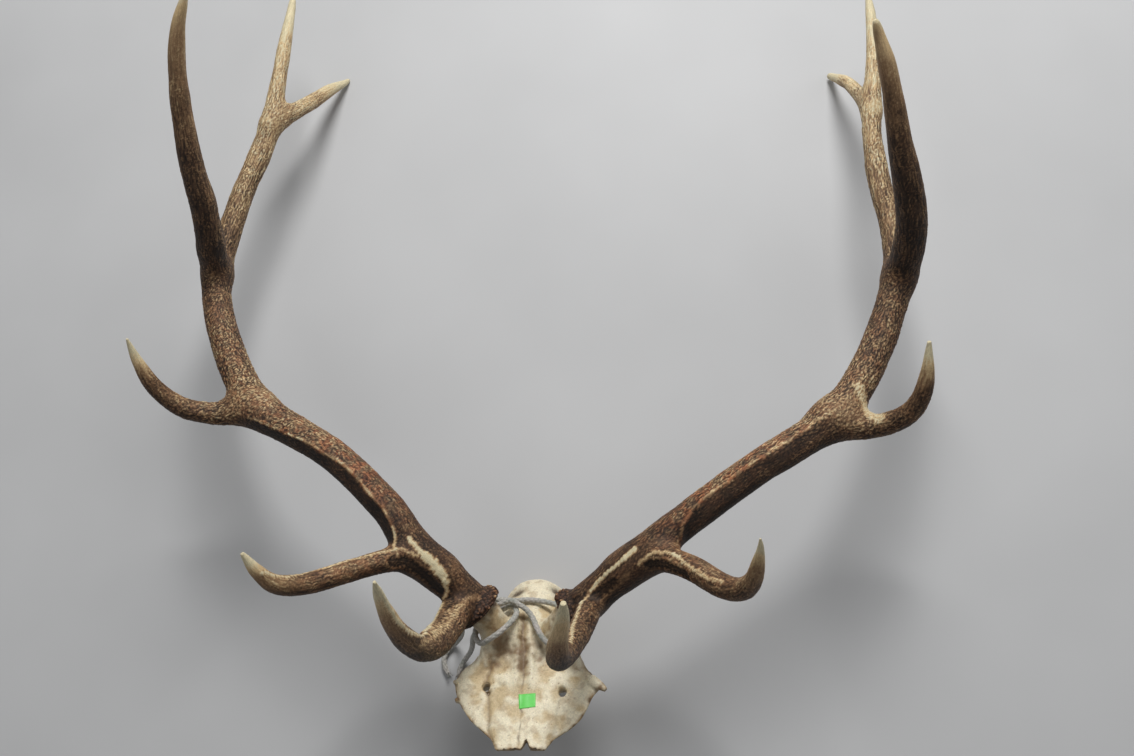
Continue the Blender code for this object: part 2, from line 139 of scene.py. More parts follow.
class Branch:
    """A smooth centre line with a radius and a direction to measure angles from."""

    def __init__(self, rows, seed):
        rows = np.array(rows, float)
        ends = np.vstack([rows[:1], rows, rows[-1:]])
        share = np.linspace(0, 1, 40, endpoint=False)[:, None]
        dense = []
        for before, start, end, after in zip(ends, ends[1:], ends[2:], ends[3:]):
            bend = 2 * before - 5 * start + 4 * end - after
            twist = 3 * (start - end) + after - before
            dense.append(start + 0.5 * share * (end - before + share * (bend + share * twist)))
        dense = np.vstack([*dense, rows[-1:]])
        steps = np.linalg.norm(np.diff(dense[:, :3], axis=0), axis=1)
        reach = np.concatenate([[0], np.cumsum(steps)])
        self.length = reach[-1]
        count = max(4, int(round(self.length / LINE_STEP))) + 1
        self.along = np.linspace(0, self.length, count)
        self.step = self.along[1]
        smooth = [np.interp(self.along, reach, dense[:, axis]) for axis in range(4)]
        self.point = np.stack(smooth[:3], 1)
        self.radius = smooth[3]
        tangent = np.gradient(self.point, self.step, axis=0)
        self.tangent = tangent / np.linalg.norm(tangent, axis=1)[:, None]
        self.across = self.carry_across()
        self.seed = seed

    def carry_across(self):
        """A direction across the line that doesn't twist from one point to the next."""
        across = np.cross(self.tangent[0], [0.0, 0.0, 1.0])
        carried = []
        for tangent in self.tangent:
            across = across - tangent * (across @ tangent)
            across = across / np.linalg.norm(across)
            carried.append(across)
        return np.array(carried)

    def at(self, along):
        """Centre, tangent, across direction and radius at distances along the line."""
        place = np.clip(along / self.step, 0, len(self.along) - 1.000001)
        index = place.astype(int)
        share = (place - index)[:, None]
        start, end = self.point[index], self.point[index + 1]
        lead = self.tangent[index] * self.step
        follow = self.tangent[index + 1] * self.step
        square, cube = share**2, share**3
        centre = (
            (2 * cube - 3 * square + 1) * start + (cube - 2 * square + share) * lead
            + (3 * square - 2 * cube) * end + (cube - square) * follow
        )
        tangent = self.tangent[index] * (1 - share) + self.tangent[index + 1] * share
        tangent /= np.linalg.norm(tangent, axis=1)[:, None]
        across = self.across[index] * (1 - share) + self.across[index + 1] * share
        radius = self.radius[index] * (1 - share[:, 0]) + self.radius[index + 1] * share[:, 0]
        return centre, tangent, across, radius

    def locate(self, points):
        """How far along the line each point lies, and whether it is anywhere near."""
        coarse = self.point[::COARSE]
        nearest = np.empty(len(points), int)
        distance = np.empty(len(points))
        for start in range(0, len(points), CHUNK):
            part = points[start : start + CHUNK]
            square = ((part[:, None, :] - coarse[None]) ** 2).sum(2)
            nearest[start : start + CHUNK] = square.argmin(1)
            distance[start : start + CHUNK] = np.sqrt(square.min(1))
        near = distance < NEAR
        along = nearest[near] * COARSE * self.step
        close = points[near]
        for _ in range(6):
            centre, tangent, _, _ = self.at(along)
            along = np.clip(along + ((close - centre) * tangent).sum(1), 0, self.length)
        return near, along


# noise


def hash_cell(cell, seed):
    """A repeatable random whole number for each cell of a grid."""
    mixed = cell[:, 0] * np.uint32(0x8DA6B343) ^ cell[:, 1] * np.uint32(0xD8163841)
    mixed ^= cell[:, 2] * np.uint32(0xCB1AB31F) ^ np.uint32((seed * 0x9E3779B1) & 0xFFFFFFFF)
    mixed ^= mixed >> np.uint32(13)
    mixed *= np.uint32(0x5BD1E995)
    mixed ^= mixed >> np.uint32(15)
    mixed *= np.uint32(0x27D4EB2D)
    return mixed ^ (mixed >> np.uint32(14))


def to_cells(points):
    floor = np.floor(points)
    return floor.astype(np.int64).astype(np.uint32), points - floor


def noise(points, seed):
    """Smooth noise between about -1 and 1."""
    cell, part = to_cells(points)
    fade = part * part * part * (part * (part * 6 - 15) + 10)
    total = np.zeros(len(points))
    for corner in range(8):
        step = np.array([corner & 1, corner >> 1 & 1, corner >> 2 & 1])
        mixed = hash_cell(cell + step.astype(np.uint32), seed)
        slope = ((mixed[:, None] >> np.array([3, 7, 11], np.uint32)) & 1) * 2.0 - 1.0
        weight = np.prod(np.where(step, fade, 1 - fade), axis=1)
        total += weight * (slope * (part - step)).sum(1)
    return total


def layered_noise(points, seed, layers=3):
    total = np.zeros(len(points))
    for layer in range(layers):
        total += noise(points * 2**layer, seed + layer) / 2**layer
    return total


def beads(points, seed):
    """Distance to the nearest of scattered centres, to the next one, and a number for it."""
    cell, part = to_cells(points)
    nearest = np.full(len(points), 9.0)
    second = np.full(len(points), 9.0)
    number = np.zeros(len(points))
    for step in np.ndindex(3, 3, 3):
        offset = np.array(step) - 1
        mixed = hash_cell(cell + offset.astype(np.int64).astype(np.uint32), seed)
        spread = ((mixed[:, None] >> np.array([0, 10, 20], np.uint32)) & 1023) / 1023.0
        distance = np.sqrt(((offset + spread - part) ** 2).sum(1))
        closer = distance < nearest
        second = np.where(closer, nearest, np.minimum(second, distance))
        number = np.where(closer, (mixed & 255) / 255.0, number)
        nearest = np.where(closer, distance, nearest)
    return nearest, second, number


def ease(low, high, value):
    """0 below low, 1 above high and smooth between, either way round."""
    share = np.clip((value - low) / (high - low), 0, 1)
    return share * share * (3 - 2 * share)


def bell(value, width):
    """1 where the value is 0, falling smoothly to nearly nothing at twice the width."""
    return np.exp(-((value / width) ** 2))


def mix(low, high, share):
    return low * (1 - share) + high * share


# making meshes


def to_world(points):
    """Table millimetres to metres in the frame's own axes."""
    return (np.asarray(points, float) - FOOT_CENTRE) * MM


def to_table(points):
    return np.asarray(points, float) / MM + FOOT_CENTRE


def link(thing):
    bpy.context.scene.collection.objects.link(thing)
    return thing


def evaluated_mesh(thing):
    graph = bpy.context.evaluated_depsgraph_get()
    return bpy.data.meshes.new_from_object(thing.evaluated_get(graph))


def remove(thing):
    bpy.data.objects.remove(thing, do_unlink=True)


def mesh_points(mesh):
    points = np.empty(len(mesh.vertices) * 3)
    mesh.vertices.foreach_get("co", points)
    return points.reshape(-1, 3)


def set_mesh_points(mesh, points):
    mesh.vertices.foreach_set("co", np.asarray(points, np.float32).ravel())
    mesh.update()


def mesh_from(name, points, faces):
    mesh = bpy.data.meshes.new(name)
    mesh.from_pydata(np.asarray(points).tolist(), [], [list(face) for face in faces])
    mesh.validate()
    return mesh


def face_outward(mesh):
    """Turns a closed mesh's faces outward where they were made facing inward."""
    points = mesh_points(mesh)
    volume = 0.0
    for face in mesh.polygons:
        first, *rest = face.vertices
        for second, third in zip(rest, rest[1:]):
            volume += points[first] @ np.cross(points[second], points[third])
    if volume < 0:
        mesh.flip_normals()
    return mesh


def voxel_mesh(thing, size):
    """A closed skin of even faces round everything in the object, which is then removed."""
    modifier = thing.modifiers.new("skin", "REMESH")
    modifier.mode = "VOXEL"
    modifier.voxel_size = size * MM
    modifier.use_smooth_shade = True
    mesh = evaluated_mesh(thing)
    remove(thing)
    return mesh


def tubes_object(name, lines):
    """One object with a closed tube along each list of (x, y, z, radius) rows."""
    curve = bpy.data.curves.new(name, "CURVE")
    curve.dimensions = "3D"
    curve.bevel_depth = MM
    curve.bevel_resolution = 6
    curve.use_fill_caps = True
    for rows in lines:
        spline = curve.splines.new("POLY")
        spline.points.add(len(rows) - 1)
        for point, row in zip(spline.points, rows):
            point.co = (*to_world(row[:3]), 1.0)
            point.radius = row[3]
    holder = link(bpy.data.objects.new(name, curve))
    mesh = evaluated_mesh(holder)
    remove(holder)
    return link(bpy.data.objects.new(name, mesh))


def mesh_edges(mesh):
    edges = np.empty(len(mesh.edges) * 2, np.int32)
    mesh.edges.foreach_get("vertices", edges)
    return edges.reshape(-1, 2)


def neighbour_mean(points, edges):
    """The mean of each point's neighbours along the mesh's edges."""
    both = np.concatenate([edges[:, 0], edges[:, 1]])
    other = np.concatenate([edges[:, 1], edges[:, 0]])
    count = np.maximum(np.bincount(both, minlength=len(points)), 1)
    total = [np.bincount(both, points[other, axis], len(points)) for axis in range(points.shape[1])]
    return np.stack(total, 1) / count[:, None]


def add_values(mesh, name, values):
    """Stores one number, vector or colour per vertex for the material to read."""
    values = np.asarray(values, np.float32)
    if values.ndim == 1:
        mesh.attributes.new(name, "FLOAT", "POINT").data.foreach_set("value", values)
    elif name == "tone":
        full = np.concatenate([values, np.ones((len(values), 1), np.float32)], 1)
        mesh.attributes.new(name, "FLOAT_COLOR", "POINT").data.foreach_set("color", full.ravel())
    else:
        holder = mesh.attributes.new(name, "FLOAT_VECTOR", "POINT")
        holder.data.foreach_set("vector", values.ravel())


def finish_piece(name, mesh, material, *nodes):
    """A smooth-shaded object that stands for these nodes of the CAD model."""
    mesh.polygons.foreach_set("use_smooth", np.ones(len(mesh.polygons), bool))
    piece = link(bpy.data.objects.new(name, mesh))
    piece.data.materials.clear()
    piece.data.materials.append(material)
    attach(piece, "root")
    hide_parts(*nodes)
    return piece


# the antlers' shape

BURR_BACK = 8.0  # the beam's line starts this far behind the middle of the burr
BURR_FLARE = 11.0
BURR_ROWS = 9  # of the beam's line that the burr takes up
FAR = 500.0  # a gap for points that are nowhere near a branch
TINE_BLEND = {"brow": 16.0, "bez": 22.0, "trez": 30.0, "royal": 26.0, "fifth": 22.0}
BRANCHES = ("beam", *TINE_BLEND)


def extend_back(rows, reach):
    """The rows with a first one added behind the burr, in line with the beam."""
    first, second = np.array(rows[0], float), np.array(rows[1], float)
    direction = (second - first)[:3] / np.linalg.norm((second - first)[:3])
    return [(*(first[:3] - reach * direction), first[3]), *rows]


def measure(branch, points):
    """Where each nearby point lies round a branch, and its distance from the smooth skin."""
    near, along = branch.locate(points)
    centre, tangent, across, radius = branch.at(along)
    offset = points[near] - centre
    beyond = (offset * tangent).sum(1)
    flat = offset - beyond[:, None] * tangent
    upward = np.cross(tangent, across)
    place = {
        "near": near, "along": along, "tangent": tangent, "across": across, "radius": radius,
        "x": (flat * across).sum(1), "y": (flat * upward).sum(1), "beyond": beyond,
    }
    reach = np.linalg.norm(offset, axis=1)
    place["gap"] = reach - radius
    place["slope"] = offset / np.maximum(reach, 0.1)[:, None]
    return place


def burr_bulge(along):
    """How far the burr stands out of the beam at a distance along it."""
    height = along - BURR_BACK
    rise = ease(-8, -2, height)
    return BURR_FLARE * rise * (1 - ease(2, 19, height))


def measure_beam(branch, points):
    """As measure, with the burr, and with a flat end where the pedicle meets it."""
    place = measure(branch, points)
    radial = np.hypot(place["x"], place["y"])
    behind = np.minimum(place["beyond"], 0) + place["along"]
    ahead = np.maximum(place["beyond"], 0)
    side_gap = np.hypot(radial, ahead) - place["radius"] - burr_bulge(place["along"])
    end_gap = -behind
    ends = end_gap > side_gap
    place["gap"] = np.maximum(side_gap, end_gap)
    place["slope"] = np.where(ends[:, None], -place["tangent"], place["slope"])
    return place


def spread(values, near, fill):
    """Values of the nearby points back in an array over all points."""
    shape = (len(near), *values.shape[1:])
    full = np.full(shape, fill, float)
    full[near] = values
    return full


def field(antler, points):
    """Distance from the blended skin, the way out of it, and every branch's own measure."""
    beam = measure_beam(antler["beam"], points)
    gap = spread(beam["gap"], beam["near"], FAR)
    slope = spread(beam["slope"], beam["near"], 0.0)
    places = {"beam": beam}
    for name, reach in TINE_BLEND.items():
        place = measure(antler[name], points)
        near = place["near"]
        share = np.clip(0.5 + 0.5 * (gap[near] - place["gap"]) / reach, 0, 1)
        blended = gap[near] * (1 - share) + place["gap"] * share - reach * share * (1 - share)
        slope[near] = slope[near] * (1 - share[:, None]) + place["slope"] * share[:, None]
        gap[near] = blended
        places[name] = place
    slope /= np.maximum(np.linalg.norm(slope, axis=1), 1e-6)[:, None]
    return gap, slope, places


def antler_skin(side, antler):
    """The smooth skin of one antler as a mesh, moved onto the blended field."""
    lines = []
    for name in ("beam", *TINE_BLEND):
        branch = antler[name]
        lines.append(np.column_stack([branch.point, branch.radius])[::2])
    beam = antler["beam"]
    burr = np.column_stack([beam.point, beam.radius + burr_bulge(beam.along)])
    lines.append(burr[:BURR_ROWS])
    mesh = voxel_mesh(tubes_object(side + "_antler", lines), VOXEL)
    points = to_table(mesh_points(mesh))
    edges = mesh_edges(mesh)
    for _ in range(3):
        gap, slope, _ = field(antler, points)
        points = points - gap[:, None] * slope
        points = mix(points, neighbour_mean(points, edges), 0.5)
    gap, slope, places = field(antler, points)
    points = points - gap[:, None] * slope
    return mesh, points, slope, places


# The cord

CORD_RADIUS = 4.0
SKULL_TURN = math.radians(4.6)
SAW_RUN, SAW_RISE = 0.8, 0.6
FIRST_LEG = [
    (-110, -128, 4.6), (-109, -114, 4.6), (-103, -101, 7.5), (-93, -90, 22), (-86, -83, 45),
    (-82, -78, 66), (-78, -73, 84), (-70, -66, 97),
]
LASHING = [
    (-61, 101, 51), (-46, 91, 60), (-33, 87, 67), (-23, 90.5, 70.5), (-17.5, 100, 73),
    (-16.5, 113, 77), (-21.5, 131, 82), (-33.5, 147, 81), (-48, 154, 74.5), (-62, 148, 60),
    (-72, 134, 53), (-75, 117, 54.5), (-67, 100.5, 62.5), (-50, 92, 72), (-37, 90, 78),
    (-25, 90, 81.5), (-13, 97, 81), (-2, 103, 76), (7, 115, 72), (14, 133, 72), (25, 151, 67.5),
    (42, 158, 58), (58, 151, 50), (70, 137, 47), (71, 120, 50), (65, 104, 57), (52, 94, 65),
    (38, 89, 71), (25, 84, 71.5), (0, 78, 70.8), (-22, 80, 72), (-40, 81, 75), (-57, 87, 80),
    (-72, 97, 70),
]
SECOND_LEG = [
    (-83, -50, 109), (-92, -55, 97), (-97, -59, 80), (-101, -63, 56), (-107, -68, 30),
    (-117, -75, 10), (-128, -85, 4.6), (-134, -98, 4.6), (-131, -112, 4.6), (-122, -126, 4.6),
]


def from_skull(points):
    """Points (x, u, t) of the skull plate's own frame in the tables' frame."""
    points = np.asarray(points, float)
    x, u, t = points[..., 0], points[..., 1], points[..., 2]
    back, up = -SAW_RUN * u + SAW_RISE * t, SAW_RISE * u + SAW_RUN * t
    cos, sin = math.cos(SKULL_TURN), math.sin(SKULL_TURN)
    return np.stack([cos * x - sin * back, sin * x + cos * back, up], -1)


def to_skull(points):
    points = np.asarray(points, float)
    cos, sin = math.cos(SKULL_TURN), math.sin(SKULL_TURN)
    x = cos * points[..., 0] + sin * points[..., 1]
    back = -sin * points[..., 0] + cos * points[..., 1]
    up = points[..., 2]
    return np.stack([x, -SAW_RUN * back + SAW_RISE * up, SAW_RISE * back + SAW_RUN * up], -1)


def sweep(line, across, upward, radius, sides):
    """Points, faces and turn of a round tube with both ends closed."""
    turn = np.arange(sides) * 2 * math.pi / sides
    radius = np.broadcast_to(radius, len(line))[:, None, None]
    cos, sin = np.cos(turn)[None, :, None], np.sin(turn)[None, :, None]
    ring = cos * across[:, None] + sin * upward[:, None]
    points = (line[:, None] + radius * ring).reshape(-1, 3)
    here = np.arange(sides)
    after = (here + 1) % sides
    rows = np.arange(len(line) - 1)[:, None] * sides
    sheets = np.stack([rows + here, rows + after, rows + sides + after, rows + sides + here], -1)
    faces = sheets.reshape(-1, 4).tolist()
    last = (len(line) - 1) * sides
    faces.append(list(here[::-1]))
    faces.append(list(last + here))
    return points, faces, np.tile(turn, len(line))


def line_frame(line, start):
    """Two directions across a dense line, carried along it without twisting."""
    tangent = np.gradient(line, axis=0)
    tangent /= np.linalg.norm(tangent, axis=1)[:, None]
    across = np.array(start, float)
    carried = []
    for direction in tangent:
        across = across - direction * (across @ direction)
        across = across / np.linalg.norm(across)
        carried.append(across)
    carried = np.array(carried)
    return carried, np.cross(tangent, carried)


class Tubes:
    """Gathers tubes and, for each point, how far along it is, its turn and its strand."""

    def __init__(self):
        self.points, self.faces, self.grain, self.count = [], [], [], 0

    def add(self, line, start, radius, sides, along, strand):
        side, rise = line_frame(line, start)
        tube, sheet, turn = sweep(line, side, rise, radius, sides)
        self.faces += [[index + self.count for index in face] for face in sheet]
        self.points.append(tube)
        along = np.repeat(along, sides)
        self.grain.append(np.column_stack([along, turn, np.full(len(tube), strand)]))
        self.count += len(tube)


STRANDS = 3
LAY = 25.0  # length of one turn of the strands
STRAND_STEP = 1.3
STRAND_SIDES = 10
STRAND_OUT, STRAND_RADIUS = 0.27, 0.74  # as shares of the cord's radius
FRAY = 16.0  # length of the frayed ends
FIBRES = 26
FIBRE_SIDES = 5
FIBRE_RADIUS = (0.55, 0.2)  # at its root and its tip
FIBRE_LOW = 0.9  # least height of a fibre's middle over the floor
PATH_STEP = 3


def make_cord():
    """Three strands laid round each other, fraying into loose fibres at both ends."""
    route = [*FIRST_LEG, *from_skull(LASHING).tolist(), *SECOND_LEG]
    rope = Branch([(*point, CORD_RADIUS) for point in route], SEED)
    count = int(rope.length / STRAND_STEP)
    along = np.linspace(0, rope.length, count)
    centre, tangent, across, _ = rope.at(along)
    upward = np.cross(tangent, across)
    from_end = np.minimum(along, rope.length - along)
    wander = noise(np.column_stack([along / 30, along * 0, along * 0]), SEED)
    random = np.random.default_rng(SEED)
    tubes = Tubes()
    kept = from_end > 0.4 * FRAY
    for strand in range(STRANDS):
        spin = 2 * math.pi * (along / LAY + strand / STRANDS) + 0.5 * wander
        out = STRAND_OUT * CORD_RADIUS * (1 + 0.35 * (1 - ease(0, FRAY, from_end)))
        line = centre + (np.cos(spin) * out)[:, None] * across
        line += (np.sin(spin) * out)[:, None] * upward
        place = np.column_stack([along / 6, along * 0 + strand, along * 0])
        radius = STRAND_RADIUS * CORD_RADIUS * (1 + 0.05 * noise(place, SEED + 1))
        radius = radius * (1 - 0.3 * (1 - ease(0.4, 1, from_end / FRAY)))
        start = across[kept][0]
        tubes.add(line[kept], start, radius[kept], STRAND_SIDES, along[kept], strand / STRANDS)
    for end in (0, 1):
        for _ in range(FIBRES):
            spin = random.uniform(0, 2 * math.pi)
            lean = random.uniform(0.1, 1.0)
            length = random.uniform(0.55, 1.0) * FRAY
            steps = np.linspace(0, 1, 9)
            distance = np.maximum(FRAY * 0.9 - steps * length, 0.2)
            place = distance if end == 0 else rope.length - distance
            middle, ahead, side, _ = rope.at(place)
            rise = np.cross(ahead, side)
            out = 1.6 + lean * 4.2 * steps**1.5
            curl = spin + random.uniform(-1.2, 1.2) * steps
            line = middle + (np.cos(curl) * out)[:, None] * side
            line += (np.sin(curl) * out)[:, None] * rise
            line[:, 2] = np.maximum(line[:, 2], FIBRE_LOW)
            radius = mix(*FIBRE_RADIUS, steps)
            tubes.add(line, side[0], radius, FIBRE_SIDES, place, random.uniform(0, 1))
    points = np.concatenate(tubes.points)
    points[:, 2] = np.maximum(points[:, 2], 0.25)
    mesh = mesh_from("cord_strands", to_world(points), tubes.faces)
    add_values(mesh, "grain", np.concatenate(tubes.grain))
    cord = finish_piece("cord_strands", mesh, cord_material(), "cord")
    path = to_world(centre[::PATH_STEP])
    if np.linalg.norm(path[-1] - to_world(centre[-1])) > 1e-9:
        path = np.vstack([path, to_world(centre[-1:])])
    length = float(np.linalg.norm(np.diff(path, axis=0), axis=1).sum())


# The antlers' surface

DARK, BROWN, TAN = (0.014, 0.0085, 0.0055), (0.075, 0.04, 0.021), (0.27, 0.16, 0.08)
CREAM, IVORY = (0.62, 0.45, 0.24), (0.66, 0.575, 0.37)
REDNESS = np.array((1.5, 0.84, 0.62))
LEVELS = (0.0, 0.3, 0.6, 0.85, 1.0)
SHADES = np.array([DARK, BROWN, TAN, CREAM, IVORY])

# For each branch, at shares of its length: how deep the wrinkles and beads are, in
# millimetres, how pale the skin is, from 0, near black, to 1, ivory, and how red.
SURFACES = {
    "beam": {
        "place": (0, 0.03, 0.12, 0.2, 0.28, 0.36, 0.5, 0.62, 0.74, 0.87, 1),
        "groove": (0.3, 0.35, 0.4, 0.6, 0.8, 1.15, 0.9, 0.8, 0.8, 0.6, 0.1),
        "bead": (0.35, 0.35, 0.35, 0.5, 0.6, 0.6, 0.35, 0.2, 0.1, 0.0, 0.0),
        "pale": (0.2, 0.2, 0.22, 0.34, 0.38, 0.42, 0.3, 0.42, 0.6, 0.74, 0.98),
        "red": (0.25, 0.15, 0.15, 0.75, 0.6, 0.35, 0.25, 0.0, 0.0, 0.0, 0.0),
    },
    "brow": {
        "place": (0, 0.15, 0.4, 0.58, 0.72, 0.85, 1),
        "groove": (0.3, 0.6, 0.6, 0.5, 0.3, 0.1, 0.0),
        "bead": (0.2, 0.2, 0.2, 0.1, 0.0, 0.0, 0.0),
        "pale": (0.24, 0.3, 0.27, 0.22, 0.5, 0.8, 0.97),
        "red": (0.1, 0.2, 0.15, 0.0, 0.0, 0.0, 0.0),
    },
    "bez": {
        "place": (0, 0.2, 0.45, 0.65, 0.8, 0.92, 1),
        "groove": (0.4, 0.5, 0.5, 0.5, 0.3, 0.1, 0.0),
        "bead": (0.3, 0.3, 0.2, 0.1, 0.0, 0.0, 0.0),
        "pale": (0.3, 0.36, 0.36, 0.34, 0.45, 0.74, 1.0),
        "red": (0.15, 0.3, 0.3, 0.15, 0.0, 0.0, 0.0),
    },
    "trez": {
        "place": (0, 0.25, 0.45, 0.68, 0.84, 1),
        "groove": (1.15, 0.9, 0.7, 0.5, 0.2, 0.0),
        "bead": (0.5, 0.4, 0.3, 0.1, 0.0, 0.0),
        "pale": (0.5, 0.42, 0.32, 0.3, 0.68, 1.0),
        "red": (0.2, 0.15, 0.15, 0.1, 0.0, 0.0),
    },
    "royal": {
        "place": (0, 0.15, 0.4, 0.65, 0.85, 1),
        "groove": (0.8, 0.8, 0.6, 0.4, 0.15, 0.0),
        "bead": (0.3, 0.2, 0.1, 0.0, 0.0, 0.0),
        "pale": (0.3, 0.25, 0.26, 0.42, 0.58, 0.68),
        "red": (0.2, 0.1, 0.05, 0.05, 0.0, 0.0),
    },
    "fifth": {
        "place": (0, 0.25, 0.5, 0.75, 1),
        "groove": (0.7, 0.7, 0.5, 0.3, 0.1),
        "bead": (0.1, 0.1, 0.1, 0.0, 0.0),
        "pale": (0.66, 0.64, 0.66, 0.78, 0.95),
        "red": (0.0, 0.0, 0.0, 0.0, 0.0),
    },
}

# The sharp edge along each lower beam, from the trez tine down to the bez tine.
RIDGES = {
    "right": [
        (-427, 203, 221), (-388, 190, 226), (-348, 173, 232), (-314, 161, 236), (-284, 145, 238),
        (-247, 126, 240), (-227, 109, 239), (-207, 88, 238), (-189, 72, 237), (-180, 59, 235),
        (-173, 48, 233), (-169, 37, 230), (-166, 24, 223),
    ],
    "left": [
        (407, 234, 235), (380, 217, 237), (348, 191, 240), (322, 171, 242), (305, 159, 243),
        (291, 149, 242), (269, 131, 241), (240, 107, 240), (225, 91, 239), (213, 71, 236),
        (210, 55, 229),
    ],
}

RIDGE_SHADE = {"right": 0.34, "left": 0.06}

# Worn places: points along each, its half width in millimetres, how raised it is, how strongly
# it shows and how pale it is.
WORN = {
    "right": [
        ([(-150, 34, 228), (-133, 16, 221), (-118, 5, 213)], 5.5, 0.8, 1.0, 0.9),
        ([(-128, 13, 219), (-118, 5, 213), (-108, -5, 207)], 10.0, 0.9, 1.0, 0.98),
        ([(-110, -3, 208), (-100, -16, 199)], 6.5, 1.0, 1.0, 0.94),
        ([(-104, -14, 201), (-100, -24, 194), (-102, -38, 176), (-100, -54, 198), (-101, -70, 222),
          (-99, -87, 254), (-95, -101, 306), (-88, -108, 374), (-92, -107, 407), (-97, -101, 440),
          (-101, -90, 473), (-103, -78, 508)], 4.5, 1.2, 0.9, 0.85),
        ([(-102, -44, 184), (-100, -56, 202), (-101, -70, 225), (-98, -87, 256), (-94, -100, 304)],
         13.0, 6.5, 0.0, 0.5),
        ([(-85, -57, 213), (-86, -74, 238), (-84, -92, 273), (-81, -114, 333), (-90, -124, 372),
          (-100, -120, 407), (-105, -109, 441)], 9.0, 0.0, 0.5, 0.62),
        ([(-293, -44, 365), (-275, -43, 332), (-257, -29, 296), (-236, -19, 281), (-218, -6, 264),
          (-195, 6, 250), (-172, 15, 236), (-159, 18, 226), (-146, 15, 222), (-139, 12, 220)],
         4.0, 1.0, 0.6, 0.75),
        ([(-60, -32, 176), (-73, -35, 181), (-78, -52, 204), (-82, -78, 245), (-85, -101, 305),
          (-85, -115, 363)], 7.0, 0.8, 0.55, 0.68),
        ([(-173, 48, 233), (-169, 37, 230), (-168, 20, 226), (-165, 8, 224)], 3.0, 0.8, 0.6, 0.72),
    ],
    "left": [
        ([(153, 37, 223), (141, 26, 218)], 6.0, 0.8, 1.0, 0.93),
        ([(141, 26, 218), (127, 15, 210), (114, 5, 203)], 3.6, 1.0, 0.95, 0.86),
        ([(114, 5, 203), (102, -6, 195), (92, -19, 189), (84, -34, 196)], 4.0, 1.0, 0.9, 0.86),
        ([(84, -34, 196), (81, -51, 218), (81, -73, 253), (85, -95, 297)], 4.5, 1.0, 0.8, 0.78),
        ([(144, 6, 211), (123, -13, 197), (107, -29, 183)], 7.0, 0.0, 0.45, 0.6),
        ([(159, 20, 221), (177, 32, 235), (194, 32, 247), (208, 26, 258), (219, 15, 270),
          (232, 4, 281), (249, -6, 293), (266, -12, 305)], 4.0, 1.0, 0.6, 0.75),
        ([(203, 28, 254), (211, 24, 261)], 4.0, 0.3, 0.9, 0.95),
        ([(438, 272, 226), (443, 250, 219), (450, 238, 226), (464, 226, 238)], 11.0, 0.6, 0.9, 0.9),
        ([(400, 238, 236), (425, 245, 236), (444, 262, 236), (452, 286, 238)],
         24.0, 0.0, 0.22, 0.6),
        ([(410, 222, 240), (440, 222, 240), (468, 216, 246)], 16.0, 0.0, 0.25, 0.6),
    ],
}
# Hollows with painted shade: points along each, its half width, how deep it is, and how strongly
# and how dark the painted shade in it is.
SHADED_HOLLOWS = {
    "right": [
        ([(-167, 0, 236), (-150, 2, 226), (-134, -6, 213), (-120, -18, 203), (-109, -28, 192)],
         11.0, 2.2, 0.75, 0.1),
        ([(-92, -30, 170), (-88, -42, 180), (-90, -58, 200)], 9.0, 1.5, 0.4, 0.14),
    ],
    "left": [
        ([(170, 14, 232), (190, 16, 244), (207, 10, 255), (220, 0, 268)], 9.0, 1.8, 0.75, 0.12),
        ([(82, -30, 172), (90, -30, 176), (108, -16, 190), (126, -2, 202)], 9.0, 1.4, 0.45, 0.16),
    ],
}
# Where the grain starts to run in long streaks, as a share of each branch.
LONG_GRAIN = {"beam": 0.56, "brow": 0.45, "bez": 0.5, "trez": 0.6, "royal": 0.0, "fifth": 0.0}
STREAK = 0.36
# Down and away from the key light: faces turned this way get painted shade.
DOWN = np.array((0.0, -0.95, -0.3))


def grain_run(name, along, length):
    """Distance along the grain, where long streaks take the place of short wrinkles."""
    start = LONG_GRAIN[name] * length
    return np.minimum(along, start) + STREAK * np.maximum(along - start, 0)


def along_table(table, name, share):
    return np.interp(share, table["place"], table[name])


def ridge_angles(beam, side):
    """Where a beam's sharp edge lies round it, at distances along it."""
    line = np.array(RIDGES[side], float)
    place = measure(beam, line)
    order = np.argsort(place["along"])
    angles = np.unwrap(np.arctan2(place["y"], place["x"])[order])
    return place["along"][order], angles, RIDGE_SHADE[side]


def ridge_measure(place, ridge):
    """The angle from a beam's sharp edge, positive on its lower face, and how far it shows."""
    along, angles, _ = ridge
    angle = np.interp(place["along"], along, angles)
    start, end = along[0], along[-1]
    shown = ease(start - 25, start + 15, place["along"])
    shown *= 1 - ease(end - 40, end + 30, place["along"])
    radial = np.hypot(place["x"], place["y"]) + 1e-6
    here = np.stack([place["x"], place["y"]], 1) / radial[:, None]
    edge = np.stack([np.cos(angle), np.sin(angle)], 1)
    upward = np.cross(place["tangent"], place["across"])
    down = np.stack([place["across"] @ DOWN, upward @ DOWN], 1)
    lower = down - edge * (down * edge).sum(1)[:, None]
    lower /= np.linalg.norm(lower, axis=1)[:, None] + 1e-6
    return np.arctan2((here * lower).sum(1), (here * edge).sum(1)), shown


# Widths of the surface's features, and how much longer they are along the branch.
CREST, WRINKLE, BEAD, STREAKS = 3.1, 1.8, 3.1, 2.3
CREST_STRETCH, BEAD_STRETCH, STREAK_STRETCH = 3.6, 1.4, 9.0
EDGE_HEIGHT, EDGE_WIDTH, EDGE_LINE = 2.4, 4.2, 1.5  # of the sharp edge, and of its pale line
HOLLOW_DEPTH, HOLLOW_ANGLE, HOLLOW_REACH = 1.5, 0.6, 0.4  # under the edge, in radians round it


